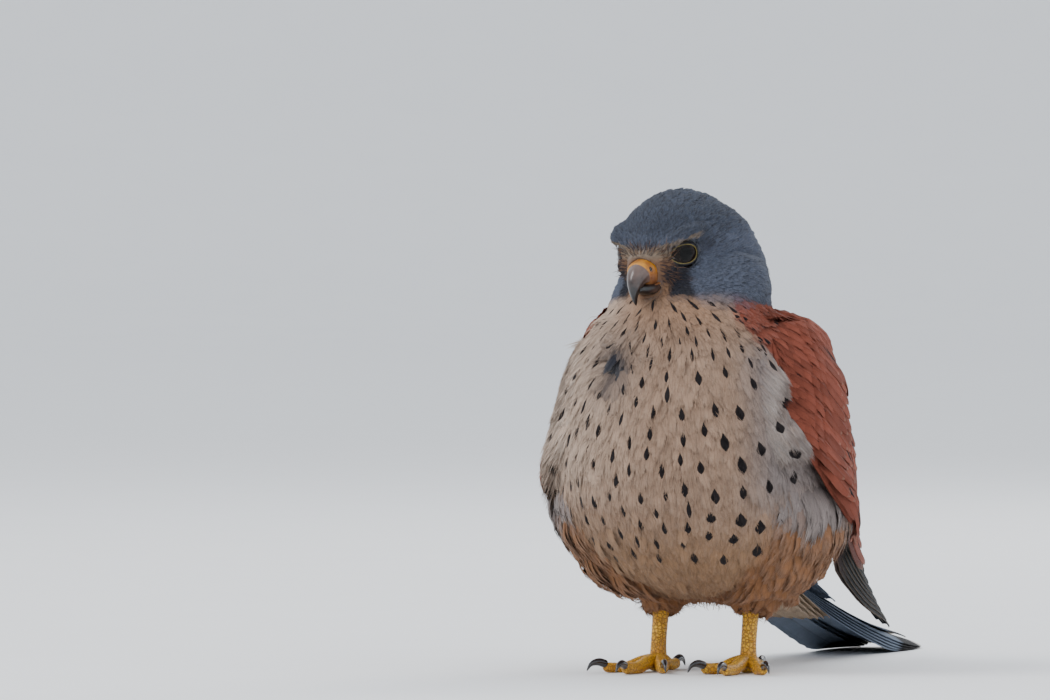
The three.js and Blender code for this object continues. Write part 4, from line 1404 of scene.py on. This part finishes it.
# Bill: slices down the hooked culmen, in the head's frame: forward, height, half sizes.
BILL_SLICES = ((13, -5.6, 5.4, 4.6), (17, -4.9, 5.2, 4.5), (19.8, -4.8, 4.6, 4), (22.2, -5.8, 3.8, 3.6),
               (24.2, -8.1, 2.8, 3), (25, -11.1, 1.7, 2.1), (24.7, -14, 0.75, 1.1),
               (24.1, -16, 0.25, 0.35))
BILL_SPINE = [(0, -forward, height) for forward, height, _, _ in BILL_SLICES]
BILL_HALF = [(width, rise) for _, _, width, rise in BILL_SLICES]
BILL_LEVEL = (-1, 0, 0)
CERE_END = 0.35  # how far along the bill's curve the cere ends
NOSTRIL = (4.95, -19.7, -3.5)


def squared(angle, above, below):
    """How a superellipse's edge stands out from an ellipse's, with a power above and below."""
    power = mix(above, below, max(0.0, -math.sin(angle)) ** 0.5)
    return (abs(math.cos(angle)) ** power + abs(math.sin(angle)) ** power) ** (-1 / power)


def build_bill():
    """The hooked upper bill, with its tooth and sharp cutting edges, and the lower bill."""
    horn = horn_material()

    def hook(u, angle):
        edge = max(0.0, -math.sin(angle)) * abs(math.cos(angle)) * 2
        tooth = 0.16 * bump(u, 0.6, 0.03) - 0.14 * bump(u, 0.67, 0.03)
        return squared(angle, 1.8, mix(3.2, 2, float(smooth(u, 0.6, 0.85)))) * (1 + tooth * edge)

    bm = bmesh.new()
    limb(bm, BILL_SPINE, BILL_HALF, 56, 90, HEAD, fade=lambda u: u, bumps=hook, level=BILL_LEVEL)
    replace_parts(bm_object("bill_upper_horn", bm, horn), "bill_upper")
    bm = bmesh.new()
    jaw = ((0, -9.5, -10.2), (0, -14.5, -10.8), (0, -19, -10.9), (0, -22.8, -10.2))
    sizes = ((5, 2.6), (4.6, 2.5), (3.6, 2), (1.6, 1))
    limb(bm, jaw, sizes, 32, 28, HEAD, fade=lambda u: 0.2 + 0.7 * u,
         bumps=lambda u, angle: squared(-angle, 2, 2.8), level=BILL_LEVEL)
    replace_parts(bm_object("bill_lower_horn", bm, horn), "bill_lower")


def bore_nostril(local, side):
    """A point of the cere moved to make the nostril's swollen rim and its pit."""
    centre = Vector((side * NOSTRIL[0], *NOSTRIL[1:]))
    away = (local - centre).length
    rim = 0.3 * bump(away, 1.3, 0.32)
    pit = 1.3 * bump(away, 0, 0.8)
    return local + Vector((side, 0, 0.25)).normalized() * (rim - pit)


def build_cere():
    """The swollen yellow skin round the bill's base, its nostrils and the gape's edges."""
    skin = cere_material()
    ends = np.linspace(0.0, CERE_END + 0.02, 7)
    spine = [tuple(spline(BILL_SPINE, u)) for u in ends]
    half = [tuple(spline(BILL_HALF, u) + 0.42 * (1 - (i / 6) ** 3) + 0.03) for i, u in enumerate(ends)]
    bm = bmesh.new()
    limb(bm, spine, half, 72, 60, bumps=lambda u, angle: squared(angle, 1.9, 2.8), level=BILL_LEVEL)
    layer = bm.verts.layers.float["fade"]
    for vertex in bm.verts:
        for _, side in SIDES:
            vertex.co = bore_nostril(vertex.co, side)
        # fade marks the cere's lower part, which its material darkens as painted shade.
        vertex[layer] = float(smooth(vertex.co.z, -4.6, -7.2))
    for _, side in SIDES:
        gape = [(side * 5.6, -10.5, -7.6), (side * 5.3, -14, -8.7), (side * 4.9, -18.4, -9.4)]
        limb(bm, gape, ((0.5, 0.6), (0.55, 0.6), (0.2, 0.25)), 16, 24)
    bm.transform(HEAD)
    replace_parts(bm_object("cere_skin", bm, skin), "cere")
    # A dark ball sunk in each nostril's pit: painted shade for the dark inside of the hole.
    bm = bmesh.new()
    for _, side in SIDES:
        hole = bmesh.ops.create_uvsphere(bm, u_segments=16, v_segments=10, radius=0.85)["verts"]
        place = Matrix.Translation((side * (NOSTRIL[0] - 1.0), *NOSTRIL[1:]))
        bmesh.ops.transform(bm, matrix=HEAD @ place, verts=hole)
    bm_object("nostril_shade", bm, claw_material())


def build_eyes():
    """Deep round eyeballs, each inside a thin ring of bare skin."""
    gloss = eye_material()
    ring = lid_material()
    for name, side in SIDES:
        place = eye_frame(side)
        bm = bmesh.new()
        layer = bm.verts.layers.float.new("fade")
        ball = bmesh.ops.create_uvsphere(bm, u_segments=48, v_segments=32, radius=EYE_RADIUS)["verts"]
        for vertex in ball:
            out = math.hypot(vertex.co.x, vertex.co.y) / EYE_OPENING
            if vertex.co.z > 0:
                vertex.co.z = float(eye_level(vertex.co.x, vertex.co.y))
            vertex[layer] = out if vertex.co.z > 0 else 2.0
        bm.transform(place)
        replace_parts(bm_object(f"eyeball_{name}", bm, gloss), f"eye_{name}")
        bm = bmesh.new()
        bm.verts.layers.float.new("fade")
        build_lid_ring(bm)
        bm.transform(place)
        bm_object(f"eye_ring_{name}", bm, ring)


LID = ((-0.3, -0.6), (-0.28, 0.08), (-0.16, 0.22), (0.0, 0.26), (0.14, 0.2), (0.4, 0.08),
       (1.1, -0.2), (2.0, -1.1), (1.9, -2.2))


def build_lid_ring(bm):
    """Bare skin that lies on the ball round the eye's opening and goes under the feathers."""
    corners = [bm.verts.new((EYE_OPENING + out, 0, rise)) for out, rise in LID]
    edges = [bm.edges.new(pair) for pair in zip(corners, corners[1:] + corners[:1])]
    layer = bm.verts.layers.float["fade"]
    for corner in corners:
        corner[layer] = float(smooth(corner.co.x - EYE_OPENING, 0.05, 0.35))
    bmesh.ops.spin(bm, geom=corners + edges, cent=(0, 0, 0), axis=(0, 0, 1),
                   angle=2 * math.pi, steps=96, use_merge=True)
    for vertex in bm.verts:
        angle = math.atan2(vertex.co.y, vertex.co.x)
        round_x = EYE_OPENING * math.cos(angle)
        round_y = EYE_OPENING * math.sin(angle) * EYE_SQUINT
        vertex.co.y *= EYE_SQUINT
        vertex.co.z += float(eye_level(round_x, round_y))


# Feet.
FOOT_SPACING = 17
FOOT_MIDDLE = -2
FLOOR_FLAT = 0.5
TOES = (("inner", -24, 24, 2.3), ("middle", 3, 32, 2.4), ("outer", 32, 25, 2.1), ("hind", 184, 17, 2.3))


def toe_spine(side, turn, length, thick):
    angle = math.radians(turn)
    ahead = np.array([side * math.sin(angle), -math.cos(angle), 0])
    start = np.array([side * FOOT_SPACING, FOOT_MIDDLE, 0.0])
    heights = ((0, 4.4), (0.3, 3.6), (0.62, thick - FLOOR_FLAT + 0.1), (1, thick - FLOOR_FLAT + 0.5))
    return [tuple(start + ahead * length * far + UP * height) for far, height in heights], ahead


TALON_HALF = ((1.3, 1.55), (1.15, 1.4), (0.7, 0.85), (0.14, 0.2))  # from root to point


def build_legs():
    scales = leg_material()
    horn = claw_material()
    for name, side in SIDES:
        bm = bmesh.new()
        shin = ((side * FOOT_SPACING, FOOT_MIDDLE, 4), (side * FOOT_SPACING, FOOT_MIDDLE + 1, 13),
                (side * FOOT_SPACING, FOOT_MIDDLE + 6, 34))
        limb(bm, shin, ((3.1, 3.4), (2.7, 3.1), (3.3, 3.5)), 28, 60,
             bumps=lambda u, angle: 1 + 0.022 * abs(math.sin(46 * u)))
        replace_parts(bm_object(f"shin_{name}", bm, scales), f"tarsus_{name}")
        bm = bmesh.new()
        sole = bmesh.ops.create_uvsphere(bm, u_segments=24, v_segments=16, radius=1)["verts"]
        bmesh.ops.scale(bm, verts=sole, vec=(4.6, 5.2, 3.4))
        bmesh.ops.translate(bm, verts=sole, vec=(side * FOOT_SPACING, FOOT_MIDDLE, 3.2))
        for toe, turn, length, thick in TOES:
            spine, ahead = toe_spine(side, turn, length, thick)
            rings = 2.2 * length

            def knuckles(u, angle):
                top = max(0.0, math.sin(angle))
                scute = 0.05 * abs(math.sin(rings * u)) * top
                pad = 0.12 * max(0.0, -math.sin(angle)) * (0.5 + 0.5 * math.cos(u * 6 * math.pi))
                return 1 + scute + pad

            limb(bm, spine, ((thick * 1.1,) * 2, (thick * 0.95,) * 2, (thick * 0.8,) * 2), 24, 72,
                 bumps=knuckles)
        for vertex in bm.verts:
            vertex.co.z = max(vertex.co.z, 0.02 * math.sin(vertex.co.x * 3) + 0.03)
        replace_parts(bm_object(f"toes_{name}", bm, scales), f"foot_{name}")
        for toe, turn, length, thick in TOES:
            spine, ahead = toe_spine(side, turn, length, thick)
            end = np.array(spine[-1])
            hook = [end + ahead * far + UP * (height - end[2])
                    for far, height in ((-1.6, 3), (2.2, 4), (5.6, 3.3), (7.6, 0.9))]
            bm = bmesh.new()
            limb(bm, [tuple(p) for p in hook], TALON_HALF, 20, 36)
            talon = bm_object(f"talon_{name}_{toe}", bm, horn)
            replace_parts(talon, f"claw_{name}_{toe}")


# Stage.
PHOTO_SIZE = (1050, 700)
PIXELS_PER_MM = 2.8
PHOTO_MIDDLE = (-64.3, 114.9)  # what the photo's centre shows: mm to the side, and height
CAMERA_TURN = math.radians(20)
CAMERA_RISE = math.radians(1.0)
CAMERA_DISTANCE = 4.0
SENSOR = 36  # mm
BOWL_FLOOR = 6.5
BOWL_RIMS = ((1.08, 0.04), (1.07, 0.2), (1.06, 0.45), (1.05, 0.75), (1.04, 1.2), (1.02, 1.6))
SKY = (0.88, 0.93, 1.0, 1)
SKY_STRENGTH = 1.25
LAMPS = {  # place in metres, watts, size in metres
    "key": ((-1.1, -1.2, 1.5), 24, 1.1),
    "fill": ((1.5, -1.0, 0.7), 4, 1.6),
    "rim": ((0.5, 1.7, 1.2), 20, 1.2),
}


def build_stage(context, shade, power):
    """A seamless pale bowl for a floor, soft lamps, and the camera at the photo's angle."""
    scene = context.scene
    bm = bmesh.new()
    bmesh.ops.create_circle(bm, cap_ends=True, cap_tris=True, segments=96, radius=BOWL_FLOOR)
    edge = [e for e in bm.edges if e.is_boundary]
    for reach, height in BOWL_RIMS:
        grown = bmesh.ops.extrude_edge_only(bm, edges=edge)["geom"]
        rim = [v for v in grown if isinstance(v, bmesh.types.BMVert)]
        bmesh.ops.scale(bm, verts=rim, vec=(reach, reach, 1))
        bmesh.ops.translate(bm, verts=rim, vec=(0, 0, height))
        edge = [e for e in grown if isinstance(e, bmesh.types.BMEdge)]
    mesh = bpy.data.meshes.new("floor")
    bm.to_mesh(mesh)
    bm.free()
    mesh.shade_smooth()
    floor = bpy.data.objects.new("floor", mesh)
    scene.collection.objects.link(floor)
    mesh.materials.append(stage_material("pale floor", shade))
    world = bpy.data.worlds.new("soft sky")
    scene.world = world
    world.use_nodes = True
    world.node_tree.nodes["Background"].inputs[0].default_value = SKY
    world.node_tree.nodes["Background"].inputs[1].default_value = SKY_STRENGTH
    aim = Vector(to_row((0, -10, 90)))
    for title, (place, watts, size) in LAMPS.items():
        lamp = bpy.data.lights.new(title, "AREA")
        lamp.energy = watts * power
        lamp.size = size
        light = bpy.data.objects.new(title, lamp)
        scene.collection.objects.link(light)
        light.location = place
        light.rotation_mode = "QUATERNION"
        light.rotation_quaternion = (aim - Vector(place)).to_track_quat("-Z", "Y")
    right = Vector((math.cos(CAMERA_TURN), math.sin(CAMERA_TURN), 0))
    back = Vector((math.sin(CAMERA_TURN) * math.cos(CAMERA_RISE),
                   -math.cos(CAMERA_TURN) * math.cos(CAMERA_RISE), math.sin(CAMERA_RISE)))
    across, up = PHOTO_MIDDLE
    target = Vector(to_row((0, 0, 0))) + right * across * MM + Vector((0, 0, up * MM))
    lens = bpy.data.cameras.new("camera")
    lens.sensor_width = SENSOR
    lens.lens = SENSOR * CAMERA_DISTANCE / (PHOTO_SIZE[0] / PIXELS_PER_MM * MM)
    lens.clip_end = 50
    camera = bpy.data.objects.new("camera", lens)
    scene.collection.objects.link(camera)
    camera.location = target + back * CAMERA_DISTANCE
    camera.rotation_mode = "QUATERNION"
    camera.rotation_quaternion = (-back).to_track_quat("-Z", "Y")
    scene.camera = camera


# The add-on: what a user would change, and one operator for each piece or group of pieces.
PLUMAGE = {"soft": (22.0, 38.0, 0.25, 0.9, 0.2, 0.05), "sleek": (90.0, -50.0, 0.3, 0.75, 0.08, 0.0),
           "flight": (260.0, -143.0, 0.3, 0.6, 0.06, 0.0)}


def plumage(kind):
    name = f"{kind} plumage"
    return bpy.data.materials.get(name) or plumage_material(name, *PLUMAGE[kind])


def colour_property(name, description, default):
    return FloatVectorProperty(name=name, description=description, default=tuple(default), size=3,
                               min=0, max=1, subtype="COLOR")


class KestrelCoat(bpy.types.PropertyGroup):
    """How thick the plumage is."""

    breast_length: FloatProperty(
        name="Breast feather length", description="Length of the breast's longest small feathers",
        default=11 * MM, min=4 * MM, max=20 * MM, subtype="DISTANCE", unit="LENGTH", precision=4)
    breast_gap: FloatProperty(
        name="Breast feather gap", description="Least distance between two breast feathers' roots",
        default=1.3 * MM, min=0.9 * MM, max=4 * MM, subtype="DISTANCE", unit="LENGTH", precision=4)
    fluff: FloatProperty(
        name="Fluff", description="How far the small feathers stand out, as a share of this pose",
        default=1, min=0, max=2, subtype="FACTOR")
    mark_gap: FloatProperty(
        name="Gap between marks", description="Least distance between two dark marks on the belly",
        default=7.6 * MM, min=3 * MM, max=20 * MM, subtype="DISTANCE", unit="LENGTH", precision=4)


class KestrelColours(bpy.types.PropertyGroup):
    """The plumage's main colours."""

    slate: colour_property("Slate", "Grey of the hood", SLATE)
    chestnut: colour_property("Chestnut", "Red brown of the back and wings", CHESTNUT)
    buff: colour_property("Buff", "Ground colour of the breast", BUFF)
    ink: colour_property("Ink", "Blackish brown of the marks", INK)


class KestrelStage(bpy.types.PropertyGroup):
    """The floor and its light."""

    shade: FloatProperty(name="Floor shade", description="How pale the floor is", default=0.9,
                         min=0, max=1, subtype="FACTOR")
    power: FloatProperty(name="Lamp power", description="Strength of all the lamps together",
                         default=1, min=0, max=10, subtype="FACTOR")


def take_up_colours(context):
    """Puts the user's main colours in the place of the ones that the file starts with."""
    hues = context.scene.kestrel_colours
    HUES.update({name: np.array(getattr(hues, name)) for name in HUES})


def coat_tools(context):
    """The skin to root feathers on, the coat's settings and the breast's marks."""
    take_up_colours(context)
    coat = context.scene.kestrel_coat
    ground = Ground(bpy.data.objects["plumage_skin"].data)
    return ground, coat, Marks(ground, coat.mark_gap / MM)


class KESTREL_OT_skin(bpy.types.Operator):
    """Make the smooth skin that replaces the head, neck, torso and thighs"""

    bl_idname = "kestrel.skin"
    bl_label = "Skin"

    def execute(self, context):
        take_up_colours(context)
        build_skin(context.scene.kestrel_coat.mark_gap / MM)
        return {"FINISHED"}


class KESTREL_OT_head_coat(bpy.types.Operator):
    """Cover the head with its small feathers and bristles"""

    bl_idname = "kestrel.head_coat"
    bl_label = "Head feathers"

    def execute(self, context):
        ground, coat, _ = coat_tools(context)
        build_head_coat(ground, plumage("soft"), coat)
        build_bristles(ground, plumage("soft"))
        return {"FINISHED"}


class KESTREL_OT_breast_coat(bpy.types.Operator):
    """Cover the breast, belly and thighs with soft feathers and their dark marks"""

    bl_idname = "kestrel.breast_coat"
    bl_label = "Breast feathers"

    def execute(self, context):
        ground, coat, marks = coat_tools(context)
        build_breast_coat(ground, plumage("soft"), coat, marks)
        build_loose_barbs(ground, plumage("soft"), marks)
        return {"FINISHED"}


class KESTREL_OT_back_coat(bpy.types.Operator):
    """Cover the mantle and rump"""

    bl_idname = "kestrel.back_coat"
    bl_label = "Back feathers"

    def execute(self, context):
        ground, coat, _ = coat_tools(context)
        build_back_coat(ground, plumage("sleek"), coat)
        return {"FINISHED"}


class KESTREL_OT_flanks(bpy.types.Operator):
    """Lay fluffed flank feathers over the front edges of the wings"""

    bl_idname = "kestrel.flanks"
    bl_label = "Flank feathers"

    def execute(self, context):
        ground, coat, marks = coat_tools(context)
        build_flanks(ground, plumage("soft"), coat, marks)
        return {"FINISHED"}


class KESTREL_OT_wings(bpy.types.Operator):
    """Make both folded wings: arms, flight feathers, coverts and scapulars"""

    bl_idname = "kestrel.wings"
    bl_label = "Wings"

    def execute(self, context):
        take_up_colours(context)
        build_wings(plumage("flight"), plumage("sleek"))
        build_scapulars(plumage("sleek"))
        return {"FINISHED"}


class KESTREL_OT_tail(bpy.types.Operator):
    """Make the tail feathers and their coverts"""

    bl_idname = "kestrel.tail"
    bl_label = "Tail"

    def execute(self, context):
        build_tail(plumage("flight"), plumage("sleek"))
        return {"FINISHED"}


class KESTREL_OT_bill(bpy.types.Operator):
    """Make the hooked bill, the cere and the nostrils"""

    bl_idname = "kestrel.bill"
    bl_label = "Bill"

    def execute(self, context):
        build_bill()
        build_cere()
        return {"FINISHED"}


class KESTREL_OT_eyes(bpy.types.Operator):
    """Make the eyeballs and the rings of bare skin round them"""

    bl_idname = "kestrel.eyes"
    bl_label = "Eyes"

    def execute(self, context):
        build_eyes()
        return {"FINISHED"}


class KESTREL_OT_feet(bpy.types.Operator):
    """Make the scaled legs and toes, and the talons"""

    bl_idname = "kestrel.feet"
    bl_label = "Feet"

    def execute(self, context):
        build_legs()
        return {"FINISHED"}


class KESTREL_OT_stage(bpy.types.Operator):
    """Set the pale floor, the soft light and the camera"""

    bl_idname = "kestrel.stage"
    bl_label = "Stage"

    def execute(self, context):
        stage = context.scene.kestrel_stage
        build_stage(context, stage.shade, stage.power)
        return {"FINISHED"}


GROUPS = {"kestrel_coat": KestrelCoat, "kestrel_colours": KestrelColours, "kestrel_stage": KestrelStage}
OPERATORS = (KESTREL_OT_skin, KESTREL_OT_head_coat, KESTREL_OT_breast_coat, KESTREL_OT_back_coat,
             KESTREL_OT_flanks, KESTREL_OT_wings, KESTREL_OT_tail, KESTREL_OT_bill,
             KESTREL_OT_eyes, KESTREL_OT_feet, KESTREL_OT_stage)


class KESTREL_PT_panel(bpy.types.Panel):
    """The kestrel's settings and pieces"""

    bl_idname = "KESTREL_PT_panel"
    bl_label = "Kestrel"
    bl_space_type = "VIEW_3D"
    bl_region_type = "UI"
    bl_category = "Kestrel"

    def draw(self, context):
        for group, kind in GROUPS.items():
            for name in kind.__annotations__:
                self.layout.prop(getattr(context.scene, group), name)
        for operator in OPERATORS:
            self.layout.operator(operator.bl_idname)


def register():
    for kind in (*GROUPS.values(), *OPERATORS, KESTREL_PT_panel):
        bpy.utils.register_class(kind)
    for group, kind in GROUPS.items():
        setattr(bpy.types.Scene, group, PointerProperty(type=kind))


def unregister():
    for group in GROUPS:
        delattr(bpy.types.Scene, group)
    for kind in reversed((*GROUPS.values(), *OPERATORS, KESTREL_PT_panel)):
        bpy.utils.unregister_class(kind)


def main():
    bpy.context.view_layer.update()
    register()
    bpy.ops.kestrel.skin()
    bpy.ops.kestrel.head_coat()
    bpy.ops.kestrel.breast_coat()
    bpy.ops.kestrel.back_coat()
    bpy.ops.kestrel.flanks()
    bpy.ops.kestrel.wings()
    bpy.ops.kestrel.tail()
    bpy.ops.kestrel.bill()
    bpy.ops.kestrel.eyes()
    bpy.ops.kestrel.feet()
    bpy.ops.kestrel.stage()


if __name__ == "__main__":
    main()
